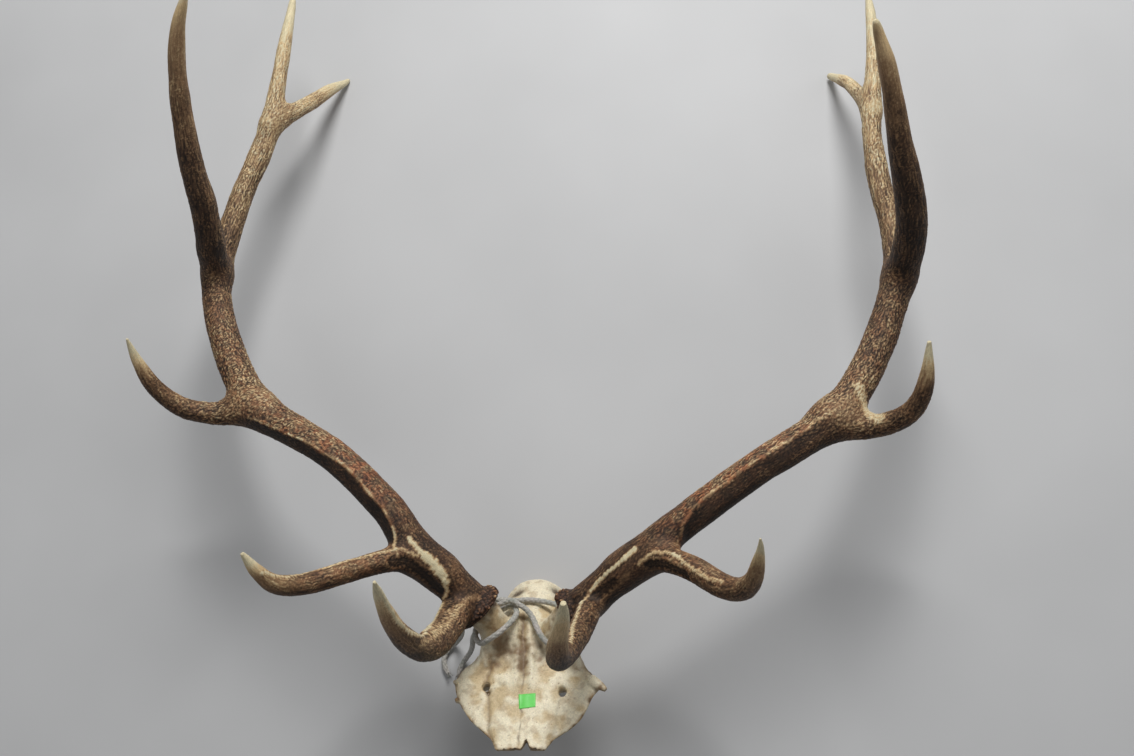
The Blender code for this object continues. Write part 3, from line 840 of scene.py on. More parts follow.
def branch_skin(name, place, points, branch, ridge):
    """Height of the surface over its smooth skin, and how pale, red and wrinkled it is."""
    table, seed = SURFACES[name], branch.seed
    along, x, y = place["along"], place["x"], place["y"]
    depth, bead_depth, pale, red = (
        along_table(table, key, along / branch.length) for key in ("groove", "bead", "pale", "red")
    )
    along = grain_run(name, along, branch.length)
    warp = 2.6 * noise(points / 11, seed) + 3.0 * noise(points / 34, seed + 7)
    smooth = np.zeros(len(points))
    height = 1.1 * noise(points / 48, seed + 5)
    if name == "beam":
        angle, shown = ridge_measure(place, ridge)
        across = angle * place["radius"]
        # The lower face, turned away from the light, is painted darker and less red as painted
        # shade, and made smoother.
        lower = ease(0.0, 0.25, angle) * (1 - ease(2.3, 2.9, angle)) * shown
        height += shown * EDGE_HEIGHT * np.exp(-((np.abs(across) / EDGE_WIDTH) ** 1.3))
        height -= shown * HOLLOW_DEPTH * bell(angle - HOLLOW_ANGLE, HOLLOW_REACH)
        broken = ease(-0.35, 0.35, noise(points / 9, seed + 9))
        pale = pale - 0.19 * lower + ridge[2] * shown * bell(across, EDGE_LINE) * broken
        red = red * (1 - 0.75 * lower)
        smooth = 0.5 * lower
    lines = np.column_stack([x + warp, y - warp, along / CREST_STRETCH])
    coarse, fine = noise(lines / CREST, seed + 1), noise(lines / WRINKLE, seed + 2)
    patchy = ease(-0.5, 0.25, noise(points / 19, seed + 12))
    crest = ease(0.0, 1.0, 1 - np.abs(coarse) * 4.2) * (0.45 + 0.55 * patchy)
    height += depth * (1 - smooth) * (0.85 * crest + 0.6 * fine - 0.3)
    cells = np.column_stack([x, y, along / BEAD_STRETCH]) / BEAD
    nearest, _, number = beads(cells, seed + 3)
    bead = (1 - ease(0.1, 0.62, nearest)) * (0.35 + 0.65 * number)
    where = ease(-0.25, 0.3, noise(points / 40, seed + 4))
    height += bead_depth * (1 - smooth) * (bead - 0.3) * (0.3 + 0.7 * where)
    fading = ease(0.0, 0.5, depth + bead_depth)
    lines = np.column_stack([x + 0.6 * warp, y, along / STREAK_STRETCH]) / STREAKS
    shine = (crest - 0.3) * (0.08 + 0.12 * ease(0.3, 1.1, depth)) + 0.08 * fine + 0.1 * (bead - 0.3)
    pale = pale + fading * (1 - 0.6 * smooth) * (0.13 * layered_noise(lines, seed + 6) + shine)
    pale += 0.15 * noise(points / 26, seed + 8) * (0.3 + 0.7 * fading)
    speckle = noise(points / 11, seed + 10) + 0.5 * noise(points / 4, seed + 11)
    red = red * ease(-0.3, 0.25, speckle)
    rough = (0.25 + 0.75 * ease(0.2, 1.0, depth)) * fading * (1 - 0.6 * smooth)
    return height, pale, red, rough * (0.5 + 0.5 * patchy)


KNOB, KNOB_GRAIN = 4.6, 2.9  # widths of the burr's knobs and of the grains on them


def burr_skin(place, seed):
    """The burr's crust of small knobs: extra height, how pale, with painted highlights on some
    knobs and painted shade on its underside, and how much of a place is burr.
    """
    height = place["along"] - BURR_BACK
    there = ease(-9, -5, height) * (1 - ease(9, 17, height))
    cells = np.column_stack([place["x"], place["y"], height / 1.2])
    nearest, second, number = beads(cells / KNOB, seed)
    small, _, chance = beads(cells / KNOB_GRAIN, seed + 1)
    knob = (1 - ease(0.1, 0.7, nearest)) * (0.35 + 0.75 * number)
    crack = 1 - ease(0.0, 0.25, second - nearest)
    grain = (1 - ease(0.1, 0.6, small)) * chance
    # Some knobs get a painted highlight, the burr's underside towards the pedicle is painted darker
    # as painted shade, and its cracks are painted darker too.
    painted_knob_highlight = (number > 0.72) * knob * 0.5
    pale = (0.12 + 0.12 * grain + painted_knob_highlight - 0.2 * crack) * mix(0.25, 1.0, ease(-6, 1, height))
    return there * (3.0 * knob + 1.3 * grain - 1.7 - 1.2 * crack), pale, there


def line_distance(points, line, reach):
    """Distance from each point to a line drawn on the skin, up to a reach."""
    line = np.array(line, float)
    steps = np.linspace(0, len(line) - 1, 8 * (len(line) - 1) + 1)
    dense = np.stack([np.interp(steps, range(len(line)), line[:, axis]) for axis in range(3)], 1)
    best = np.full(len(points), reach)
    near = np.all((points > dense.min(0) - reach) & (points < dense.max(0) + reach), axis=1)
    found = np.full(near.sum(), reach)
    for point in dense:
        nearest = np.linalg.norm(points[near] - point, axis=1).argmin()
        found = np.minimum(found, np.linalg.norm(points[near] - points[near][nearest], axis=1))
    best[near] = found
    return best


def surface(antler, points, normals, places, side):
    """Moves points onto the real surface and gives every point its colour values."""
    count = len(points)
    remaining = np.ones(count)
    beam_gap = spread(places["beam"]["gap"], places["beam"]["near"], FAR)
    weights = {}
    for name, reach in TINE_BLEND.items():
        place = places[name]
        gap = spread(place["gap"], place["near"], FAR)
        share = ease(-1.0, 1.0, (beam_gap - gap) / (0.8 * reach))
        share[~place["near"]] = 0
        weights[name] = share
        remaining = remaining * (1 - share)
    weights["beam"] = remaining
    lift, pale, red, rough, total, tine_share, burr_share = np.zeros((7, count))
    beam_grain, tine_grain = np.zeros((2, count, 3))
    ridge = ridge_angles(antler["beam"], side)
    for name, weight in weights.items():
        place = places[name]
        near = place["near"]
        inside = weight[near] > 1e-3
        wanted = np.flatnonzero(near)[inside]
        kinds = ("along", "x", "y", "radius", "tangent", "across")
        part = {key: place[key][inside] for key in kinds}
        height, tint, rust, lined = branch_skin(name, part, points[wanted], antler[name], ridge)
        run = grain_run(name, part["along"], antler[name].length)
        grain = np.column_stack([part["x"], part["y"], run])
        if name == "beam":
            extra, crust, burr = burr_skin(part, SEED + 90)
            height = height * (1 - burr) + extra
            tint, rust, lined = mix(tint, crust, burr), mix(rust, 0.35, burr), lined * (1 - burr)
            burr_share[wanted] = burr
            beam_grain[wanted] = grain
        else:
            tine_grain[wanted] = grain
            tine_share[wanted] += weight[wanted]
        for target, values in ((lift, height), (pale, tint), (red, rust), (rough, lined)):
            target[wanted] += weight[wanted] * values
        total[wanted] += weight[wanted]
    total = np.maximum(total, 1e-6)
    lift, pale, red, rough = lift / total, pale / total, red / total, rough / total
    broken = noise(points / 5, SEED + 40) + 0.6 * noise(points / 2.2, SEED + 41)
    for line, width, rise, strength, shade in WORN[side]:
        distance = line_distance(points, line, 3 * width) + 0.2 * width * broken
        lift += rise * bell(distance, 0.8 * width)
        share = strength * (1 - ease(0.35 * width, width, distance))
        pale = mix(pale, shade + 0.1 * broken, share)
        red, rough = red * (1 - share), rough * (1 - 0.8 * share * (shade > 0.8))
    # Each hollow is sunk into the skin and painted darker there: painted shade.
    for line, width, depth, strength, shade in SHADED_HOLLOWS[side]:
        distance = line_distance(points, line, 2 * width) + 0.15 * width * broken
        share = 1 - ease(0.3 * width, width, distance)
        lift -= depth * share
        pale = mix(pale, shade, strength * share)
        red = red * (1 - share)
    moved = points + normals * lift[:, None]
    values = {
        "pale": pale, "red": red, "beam_grain": beam_grain, "tine_grain": tine_grain,
        "share": tine_share / total, "burr": burr_share, "rough": rough,
    }
    return moved, values, weights


def hollowness(points, normals, edges, passes):
    """How far each point lies under the mean of the skin round it, in millimetres."""
    smooth = points
    for _ in range(passes):
        smooth = neighbour_mean(smooth, edges)
    return ((smooth - points) * normals).sum(1)


def antler_colour(points, normals, edges, values):
    """Colour and gloss from the paleness and redness, with painted shade in the hollows and on
    faces turned away from the light, and painted highlight on crests and on faces turned toward it.
    """
    fine = hollowness(points, normals, edges, 2)
    broad = hollowness(points, normals, edges, 14)
    # How far a face turns away from the light: such faces get painted shade.
    under = ease(0.0, 0.85, normals @ DOWN)
    # Painted shade in the hollows of the skin and painted highlight on its crests, weaker on shaded
    # faces.
    painted_cavity_shade_and_crest_light = np.clip(fine / 0.25, -1, 1) * (0.2 - 0.08 * under) + np.clip(broad / 1.6, -1, 1) * 0.12
    # Faces turned away from the light are painted darker and faces turned toward it a little paler:
    # painted shade and painted highlight.
    pale = values["pale"] - painted_cavity_shade_and_crest_light - 0.16 * under + 0.05 * ease(0.1, 0.8, -(normals @ DOWN))
    pale += values["burr"] * 0.1 * (np.clip(fine / 0.25, -1, 1) - 0.6)
    tone = np.stack([np.interp(pale, LEVELS, SHADES[:, channel]) for channel in range(3)], 1)
    red = np.clip(values["red"] * (1 - ease(0.6, 0.85, pale)), 0, 1)[:, None]
    tone = mix(tone, tone * REDNESS, red)
    return tone, np.clip(0.5 + fine / 0.8, 0, 1)


def vertex_normals(mesh, points):
    """Each point's normal, and the corners of the faces, which are all squares."""
    faces = np.empty(len(mesh.loops), np.int32)
    mesh.loops.foreach_get("vertex_index", faces)
    quads = faces.reshape(-1, 4)
    first, second, third, fourth = points[quads.T]
    normal = np.repeat(np.cross(third - first, fourth - second), 4, axis=0)
    total = [np.bincount(quads.ravel(), normal[:, axis], len(points)) for axis in range(3)]
    total = np.stack(total, 1)
    return total / np.maximum(np.linalg.norm(total, axis=1), 1e-9)[:, None], quads


def close_holes(quads, points):
    """Fans over the open edges of a piece of skin, and the added middle points."""
    edges = np.concatenate([quads[:, [corner, (corner + 1) % 4]] for corner in range(4)])
    key = np.sort(edges, axis=1)
    order = key[:, 0].astype(np.int64) * (len(points) + 1) + key[:, 1]
    _, first, count = np.unique(order, return_index=True, return_counts=True)
    rim = edges[first[count == 1]]
    group = {index: index for index in np.unique(rim)}

    def find(index):
        while group[index] != index:
            index = group[index]
        return index

    for start, end in rim.tolist():
        group[find(start)] = find(end)
    loops = {}
    for start, end in rim.tolist():
        loops.setdefault(find(start), []).append((start, end))
    middles, fans = [], []
    for loop in loops.values():
        here = len(points) + len(middles)
        middles.append(points[[start for start, _ in loop]].mean(0))
        fans += [(end, start, here) for start, end in loop]
    return middles, fans


def skin_piece(name, points, normals, quads, values, material, nodes):
    """One piece of an antler's skin, closed where it is cut from the next piece."""
    used = np.unique(quads)
    place = np.full(len(points), -1)
    place[used] = np.arange(len(used))
    quads = place[quads]
    middles, fans = close_holes(quads, points[used])
    all_points = np.vstack([points[used], *middles]) if middles else points[used]
    inward = np.vstack([normals[used]] + [[0.0, 0.0, 1.0]] * len(middles))
    mesh = mesh_from(name, to_world(all_points), [*quads.tolist(), *fans])
    mesh.polygons.foreach_set("use_smooth", np.ones(len(mesh.polygons), bool))
    mesh.normals_split_custom_set_from_vertices(inward.tolist())
    for key, data in values.items():
        tail = np.repeat(data[used][:1], len(middles), axis=0)
        add_values(mesh, key, np.concatenate([data[used], tail]))
    finish_piece(name, mesh, material, *nodes)


def make_antler(side, tables, fork):
    """Both pieces of one antler, cut where the royal tine leaves the beam."""
    seeds = dict(zip(BRANCHES, range(10, 100, 12)))
    shift = 0 if side == "right" else 200
    antler = {}
    for name, rows in tables.items():
        rows = extend_back(rows, BURR_BACK) if name == "beam" else rows
        antler[name] = Branch(rows, seeds[name] + shift)
    mesh, points, slope, places = antler_skin(side, antler)
    moved, values, weights = surface(antler, points, slope, places, side)
    moved = hold_inside(moved)
    normals, quads = vertex_normals(mesh, moved)
    tone, hollow = antler_colour(moved, normals, mesh_edges(mesh), values)
    kept = {
        "tone": tone, "hollow": hollow, "share": values["share"], "rough": values["rough"],
        "beam_grain": values["beam_grain"], "tine_grain": values["tine_grain"],
    }
    above = weights["royal"] + weights["fifth"] + weights["beam"] * (moved[:, 1] > fork)
    above = above[quads].mean(1) > 0.5
    material = antler_material(side)
    lower = [side + "_" + part for part in ("lower_beam", "brow_tine", "bez_tine", "trez_tine")]
    upper = [side + "_" + part for part in ("upper_beam", "royal_tine", "fifth_tine")]
    for name, chosen, nodes in (("lower", ~above, lower), ("upper", above, upper)):
        skin_piece(side + "_antler_" + name, moved, normals, quads[chosen], kept, material, nodes)


def hold_inside(points):
    """Keeps points above the surface that the object lies on and inside the CAD model's box."""
    low = to_table(np.array(cad_box[0])) + [0.05, 0.05, 0.02]
    high = to_table(np.array(cad_box[1])) - 0.05
    return np.clip(points, low, high)


# Materials


class Nodes:
    """Builds one material's node tree."""

    def __init__(self, name):
        self.material = bpy.data.materials.new(name)
        self.material.use_nodes = True
        self.tree = self.material.node_tree
        self.tree.nodes.clear()
        self.shader = self.tree.nodes.new("ShaderNodeBsdfPrincipled")
        output = self.tree.nodes.new("ShaderNodeOutputMaterial")
        self.join(self.shader.outputs[0], output.inputs[0])

    def join(self, source, target):
        if hasattr(source, "is_output"):
            self.tree.links.new(source, target)
        else:
            target.default_value = source

    def add(self, kind, *sources, output=0, **settings):
        node = self.tree.nodes.new("ShaderNode" + kind)
        for key, value in settings.items():
            setattr(node, key, value)
        for target, source in zip(node.inputs, sources):
            if source is not None:
                self.join(source, target)
        return node.outputs[output]

    def value(self, name):
        return self.add("Attribute", attribute_name=name, output="Fac")

    def vector(self, name):
        return self.add("Attribute", attribute_name=name, output="Vector")

    def colour(self, name):
        return self.add("Attribute", attribute_name=name, output="Color")

    def math(self, operation, *sources):
        return self.add("Math", *sources, operation=operation)

    def scaled(self, vector, scale):
        return self.add("VectorMath", vector, scale, operation="MULTIPLY")

    def texture(self, vector, scale, detail=2.0, roughness=0.5):
        node = self.tree.nodes.new("ShaderNodeTexNoise")
        self.join(vector, node.inputs["Vector"])
        node.inputs["Scale"].default_value = scale
        node.inputs["Detail"].default_value = detail
        node.inputs["Roughness"].default_value = roughness
        return node.outputs[0]

    def ranged(self, source, low, high, to_low, to_high):
        return self.add("MapRange", source, low, high, to_low, to_high)

    def blend(self, share, first, second, kind="MIX"):
        node = self.tree.nodes.new("ShaderNodeMix")
        node.data_type = "RGBA"
        node.blend_type = kind
        self.join(share, node.inputs[0])
        self.join(first, node.inputs[6])
        self.join(second, node.inputs[7])
        return node.outputs[2]

    def between(self, share, first, second):
        step = self.math("MULTIPLY", share, self.math("SUBTRACT", second, first))
        return self.math("ADD", first, step)

    def bump(self, height, distance, strength=1.0):
        node = self.tree.nodes.new("ShaderNodeBump")
        node.inputs["Strength"].default_value = strength
        node.inputs["Distance"].default_value = distance
        self.join(height, node.inputs["Height"])
        self.join(node.outputs[0], self.shader.inputs["Normal"])


def grey(value):
    return (value, value, value, 1.0)


def antler_material(side):
    """Antler: the colours stored on the skin, painted shade and highlight included, broken up by
    fine streaks along the grain.
    """
    nodes = Nodes(side + "_antler")
    tone, hollow, share = nodes.colour("tone"), nodes.value("hollow"), nodes.value("share")
    rough = nodes.value("rough")
    streaks, crests = [], []
    for grain in ("beam_grain", "tine_grain"):
        lines = nodes.scaled(nodes.vector(grain), (1.0, 1.0, 0.12))
        streaks.append(nodes.texture(lines, 0.95, 3.0, 0.65))
        waves = nodes.texture(nodes.scaled(nodes.vector(grain), (1.0, 1.0, 0.26)), 0.46, 1.5, 0.5)
        crests.append(nodes.math("ABSOLUTE", nodes.math("SUBTRACT", waves, 0.5)))
    streak, crest = nodes.between(share, *streaks), nodes.between(share, *crests)
    place = nodes.add("TexCoord", output="Object")
    speck = nodes.texture(place, 900.0, 2.0, 0.6)
    light = nodes.ranged(streak, 0.3, 0.7, 0.76, 1.24)
    light = nodes.math("MULTIPLY", light, nodes.ranged(speck, 0.3, 0.7, 0.85, 1.15))
    line = nodes.between(rough, 1.0, nodes.ranged(crest, 0.0, 0.075, 1.5, 0.72))
    light = nodes.math("MULTIPLY", light, line)
    shaded = nodes.add("VectorMath", tone, operation="SCALE")
    nodes.join(light, shaded.node.inputs["Scale"])
    nodes.join(shaded, nodes.shader.inputs["Base Color"])
    gloss = nodes.ranged(streak, 0.3, 0.7, 0.6, 0.44)
    gloss = nodes.math("ADD", gloss, nodes.math("MULTIPLY", hollow, 0.15))
    nodes.join(gloss, nodes.shader.inputs["Roughness"])
    height = nodes.math("ADD", streak, nodes.math("MULTIPLY", speck, 0.35))
    height = nodes.math("ADD", height, nodes.math("MULTIPLY", line, 0.7))
    nodes.bump(height, 0.0012, 0.6)
    nodes.shader.inputs["Specular IOR Level"].default_value = 0.3
    return nodes.material


def cord_material():
    """Weathered grey cord: the yarns of each strand, with painted shade in the hollows between them
    and painted highlight on their tops.
    """
    nodes = Nodes("cord")
    along, turn, _ = nodes.add("SeparateXYZ", nodes.vector("grain")).node.outputs
    along, turn = nodes.math("MULTIPLY", along, 1.15), nodes.math("MULTIPLY", turn, 3.0)
    yarn = nodes.math("SINE", nodes.math("ADD", along, turn))
    place = nodes.add("TexCoord", output="Object")
    fuzz = nodes.texture(place, 1400.0, 3.0, 0.7)
    patch = nodes.texture(place, 60.0, 2.0, 0.6)
    patch = nodes.ranged(patch, 0.35, 0.65, 0.0, 1.0)
    pale = nodes.blend(patch, (0.42, 0.42, 0.37, 1), (0.58, 0.54, 0.50, 1))
    dark = nodes.blend(patch, (0.25, 0.26, 0.225, 1), (0.36, 0.335, 0.30, 1))
    # Along each yarn the colour runs from dark in its hollows to pale on its top: painted shade and
    # painted highlight.
    yarn_light_and_shade, frizz = nodes.ranged(yarn, -1, 1, 0.0, 0.6), nodes.ranged(fuzz, 0.3, 0.7, -0.1, 0.5)
    top = nodes.math("ADD", yarn_light_and_shade, frizz)
    nodes.join(nodes.blend(top, dark, pale), nodes.shader.inputs["Base Color"])
    nodes.shader.inputs["Roughness"].default_value = 0.88
    nodes.shader.inputs["Sheen Weight"].default_value = 0.25
    height = nodes.math("ADD", nodes.math("MULTIPLY", yarn, 0.5), fuzz)
    nodes.bump(height, 0.0005, 0.5)
    return nodes.material


def bone_material():
    """Dry bone: the colours stored on the skin, painted highlight included, with fine pores and a
    slight waxy gloss.
    """
    nodes = Nodes("bone")
    tone = nodes.colour("tone")
    place = nodes.add("TexCoord", output="Object")
    fine = nodes.texture(place, 420.0, 4.0, 0.65)
    pores = nodes.texture(place, 1500.0, 2.0, 0.6)
    clouds = nodes.ranged(fine, 0.3, 0.7, 0.82, 1.12)
    light = nodes.math("MULTIPLY", clouds, nodes.ranged(pores, 0.3, 0.7, 0.9, 1.06))
    shaded = nodes.add("VectorMath", tone, operation="SCALE")
    nodes.join(light, shaded.node.inputs["Scale"])
    nodes.join(shaded, nodes.shader.inputs["Base Color"])
    nodes.join(nodes.ranged(fine, 0.3, 0.7, 0.62, 0.46), nodes.shader.inputs["Roughness"])
    nodes.shader.inputs["Subsurface Weight"].default_value = 0.06
    nodes.shader.inputs["Subsurface Radius"].default_value = (0.004, 0.0025, 0.0015)
    nodes.bump(nodes.math("ADD", fine, nodes.math("MULTIPLY", pores, 0.5)), 0.0008, 0.5)
    return nodes.material


def sticker_material():
    """Fluorescent green label paper."""
    nodes = Nodes("sticker")
    place = nodes.add("TexCoord", output="Object")
    fibre = nodes.texture(place, 2600.0, 3.0, 0.7)
    cloud = nodes.texture(place, 120.0, 2.0, 0.5)
    cloud = nodes.ranged(cloud, 0.3, 0.7, 0, 1)
    green = nodes.blend(cloud, (0.10, 0.62, 0.075, 1), (0.14, 0.72, 0.11, 1))
    nodes.join(
        nodes.blend(nodes.ranged(fibre, 0.35, 0.65, 0.0, 0.25), green, (0.3, 0.78, 0.24, 1)),
        nodes.shader.inputs["Base Color"],
    )
    nodes.shader.inputs["Roughness"].default_value = 0.42
    nodes.bump(fibre, 0.0002, 0.35)
    return nodes.material


def floor_material():
    """Pale grey laminate with a faint mottling."""
    nodes = Nodes("floor")
    place = nodes.add("TexCoord", output="Object")
    cloud = nodes.texture(place, 2.2, 3.0, 0.5)
    nodes.join(
        nodes.blend(nodes.ranged(cloud, 0.35, 0.65, 0, 1), grey(0.50), grey(0.54)),
        nodes.shader.inputs["Base Color"],
    )
    nodes.shader.inputs["Roughness"].default_value = 0.6
    return nodes.material


# The stage

CAMERA_PLACE = (0.27353, -0.631056, 1.808664)
CAMERA_AXES = (
    (0.991003, -0.038884, 0.128065),
    (0.077729, 0.946164, -0.314215),
    (-0.108953, 0.321343, 0.940674),
)
FOCAL_LENGTH, SENSOR_WIDTH = 38.73, 36.0
FLOOR_REACH, FLOOR_GAP = 6.0, 0.0004
SKY, SKY_STRENGTH = (0.93, 0.96, 1.0, 1.0), 0.17
# Each light's place, the point that it faces, its width and its power.
LIGHTS = {
    "key": ((0.15, 2.5, 2.7), (0.0, -0.3, 0.1), 1.7, 122.0),
    "fill": ((-1.4, -0.7, 1.9), (0.0, 0.0, 0.1), 1.4, 5.0),
    "side": ((1.5, 0.1, 1.8), (0.0, 0.0, 0.1), 1.2, 5.0),
}


def make_stage():
    corners = [(-1, -1, 0), (1, -1, 0), (1, 1, 0), (-1, 1, 0)]
    floor_mesh = mesh_from("floor", FLOOR_REACH * np.array(corners), [(0, 1, 2, 3)])
    floor = link(bpy.data.objects.new("floor", floor_mesh))
    floor.location.z = -FLOOR_GAP
    floor.data.materials.append(floor_material())
    camera = link(bpy.data.objects.new("camera", bpy.data.cameras.new("camera")))
    camera.data.lens = FOCAL_LENGTH
    camera.data.sensor_width = SENSOR_WIDTH
    camera.data.clip_start = 0.02
    camera.matrix_world = Matrix(CAMERA_AXES).to_4x4()
    camera.location = CAMERA_PLACE
    bpy.context.scene.camera = camera
    world = bpy.data.worlds.new("studio")
    world.use_nodes = True
    background = world.node_tree.nodes["Background"]
    background.inputs[0].default_value = SKY
    background.inputs[1].default_value = SKY_STRENGTH
    bpy.context.scene.world = world
    bpy.context.scene.view_settings.view_transform = "Standard"
    for name, (place, target, size, power) in LIGHTS.items():
        data = bpy.data.lights.new(name, "AREA")
        data.shape = "DISK"
        data.size = size
        data.energy = power
        light = link(bpy.data.objects.new(name, data))
        light.location = place
        facing = Vector(target) - Vector(place)
        light.rotation_euler = facing.to_track_quat("-Z", "Y").to_euler()


# The skull plate

SKULL_STATIONS = [
    (-3, 24, 24, 1.5, 1, 2), (0, 30, 30, 8, 1, 2), (5, 36, 36, 28, 1, 2), (10, 40, 41, 43, 1, 2),
    (18, 44, 45, 54, 2, 2), (30, 48, 50, 60, 2, 2), (58, 57, 56, 64, 3, 2),
    (90, 62, 60, 66, 5, 1.9), (112, 66, 64, 61, 8, 1.7), (133, 76, 70, 55, 12, 1.5),
    (146, 83, 75, 51, 16, 1.3), (158, 91, 79, 48, 20, 1.2), (170, 97, 87, 44, 23, 1.1),
    (182, 100, 94, 40, 24, 1), (195, 99, 103, 36, 24, 1), (211, 94, 90, 30, 21, 1),
    (228, 84, 84, 25, 18, 1), (243, 73, 76, 21, 14, 1), (257, 57, 62, 18, 11, 1),
    (271, 43, 42, 14, 9, 1), (287, 34, 31, 11, 7, 1),
]
SAWN_SLOPE, SAWN_INSET = 0.85, 0.3
STATION_STEP = 2.0
ROOF_STEPS = 56
HOLLOWS = [
    ((0, 64, -2), (42, 46, 42)), ((0, 250, -14), (30, 62, 24)),
    ((-108, 183, -6), (44, 30, 26)), ((110, 183, -6), (44, 30, 26)),
    ((-52, 202, -8), (22, 24, 31)), ((50, 206, -8), (21, 22, 29)),
]
FORAMINA = [(-54, 198, 4.2, 4.6), (50, 206, 4.2, 6.0)]  # x, u and half the opening each way
PEDICLE_ROOT, PEDICLE_MIDDLE = (32, 126, 40, 28), (46, 124, 68, 23)
PEDICLE_RAMP = [(40, 128, 62, 22), (50, 146, 46, 19), (56, 164, 32, 13)]
PEDICLE_TOP_RADIUS = 24
SPURS = [
    [(86, 188, 28, 9.0), (97, 196, 29, 7.0), (104, 202, 29, 4.8), (108, 206, 29, 3.8)],
    [(-94, 190, 30, 4.5), (-100, 191, 30, 3.4)],
    [(-90, 214, 22, 5.0), (-95, 216, 22, 3.6)],
]
SKULL_VOXEL = 1.5
ROOT_PASSES = 130  # of smoothing where the pedicles rise

# Drawn lines and soft spots on the bone, in x and u. A spot has its middle, half its width and
# length, and how far it stands out or how strongly it is stained.
SUTURE = [(-9, 100), (-8, 125), (-7, 137), (-3, 152), (-4, 166), (-3, 185), (-3, 199), (-4, 209),
          (-3, 240), (-4, 254), (-5.5, 267), (-5, 290)]
LEFT_SULCUS = [(-48, 168), (-51, 178), (-54, 188), (-52, 206), (-48, 225), (-47, 245), (-46, 260),
               (-41, 274)]
RIGHT_SULCUS = [(50, 204), (47, 215), (44, 232), (43, 252), (40, 269)]
PIT = (-50, 207.5, 3.2, 3.2)
DOME_HOLLOWS = [(-25, 48, 12, 8), (33, 38, 8, 10)]
RELIEF = [
    (-33, 158, 12, 20, -2.6), (24, 156, 11, 20, -2.6), (-24, 205, 12, 22, 1.8),
    (24, 214, 14, 30, 1.8), (*PIT, -3.4), (-54, 198, 8, 8, -1.2),
    (50, 206, 9, 10, -0.8),
]
STAINS = [
    (-31, 152, 17, 14, 1.1), (22, 152, 13, 15, 0.95), (-40, 166, 10, 7, 0.6), (-8, 170, 5, 24, 0.5),
    (-62, 176, 14, 7, 0.5), (62, 172, 16, 7, 0.4),
]
LUMP = (-31, 192, 9)  # the middle and half the width of a round lump
NOSE_END, NOTCH, NOTCH_WIDTH, NOTCH_DEPTH = 285.5, 6, 3.6, 13


def station_rows():
    """The stations at an even spacing along the skull, with their corners eased."""
    table = np.array(SKULL_STATIONS, float)
    places = np.arange(table[0, 0], table[-1, 0] + 0.1, STATION_STEP)
    rows = np.stack([np.interp(places, table[:, 0], table[:, item]) for item in range(6)], 1)
    for _ in range(4):
        rows[1:-1, 1:] = 0.25 * rows[:-2, 1:] + 0.5 * rows[1:-1, 1:] + 0.25 * rows[2:, 1:]
    return rows


def skull_loft():
    across = -np.cos(np.pi * np.arange(ROOF_STEPS + 1) / ROOF_STEPS)
    points, rings = [], []
    for u, right, left, roof, rim, fullness in station_rows():
        u_sawn, inset = u - SAWN_SLOPE * rim, SAWN_INSET * rim
        ring = [(left - inset, u_sawn, 0.0), (inset - right, u_sawn, 0.0)]
        width = np.where(across < 0, right, left)
        rise = np.maximum(0.0, 1 - across * across) ** (1 / fullness)
        for a, w, r in zip(across, width, rise):
            ring.append((a * w, u, rim + (roof - rim) * r))
        rings.append(list(range(len(points), len(points) + len(ring))))
        points += ring
    faces = []
    for ring, after in zip(rings, rings[1:]):
        for index in range(len(ring)):
            nearby = (index + 1) % len(ring)
            faces.append((ring[index], after[index], after[nearby], ring[nearby]))
    faces.append(rings[0])
    faces.append(rings[-1][::-1])
    mesh = face_outward(mesh_from("skull", to_world(from_skull(points)), faces))
    return link(bpy.data.objects.new("skull", mesh))


def ball(centre, radii):
    """A closed ellipsoid in the skull plate's frame."""
    form = bmesh.new()
    bmesh.ops.create_uvsphere(form, u_segments=40, v_segments=22, radius=1.0)
    mesh = bpy.data.meshes.new("ball")
    form.to_mesh(mesh)
    form.free()
    set_mesh_points(mesh, to_world(from_skull(mesh_points(mesh) * radii + centre)))
    return link(bpy.data.objects.new("ball", face_outward(mesh)))


def cut_away(target, cutter):
    modifier = target.modifiers.new("cut", "BOOLEAN")
    modifier.operation = "DIFFERENCE"
    modifier.solver = "EXACT"
    modifier.object = cutter
    mesh = evaluated_mesh(target)
    target.modifiers.clear()
    target.data = mesh
    remove(cutter)


def pedicle_line(sign, rows):
    """A pedicle's rows from inside the skull to the middle of the burr."""
    line = []
    for x, u, t, radius in (PEDICLE_ROOT, PEDICLE_MIDDLE):
        line.append((*from_skull((sign * x, u, t)), radius))
    line.append((*rows[0][:3], PEDICLE_TOP_RADIUS))
    return Branch(line, SEED)


def distance_to_line(points, line):
    """Distance in x and u to a drawn line."""
    best = np.full(len(points), 1e9)
    for start, end in zip(np.array(line, float), np.array(line[1:], float)):
        way = end - start
        share = np.clip(((points - start) @ way) / (way @ way), 0, 1)
        gap = points - start - share[:, None] * way
        best = np.minimum(best, np.hypot(gap[:, 0], gap[:, 1]))
    return best


def spot(x, u, middle_x, middle_u, width, length):
    """1 in the middle of a soft spot and 0 well outside it."""
    return bell(x - middle_x, width) * bell(u - middle_u, length)


def spots(x, u, rows):
    return sum(strength * spot(x, u, *row) for *row, strength in rows)


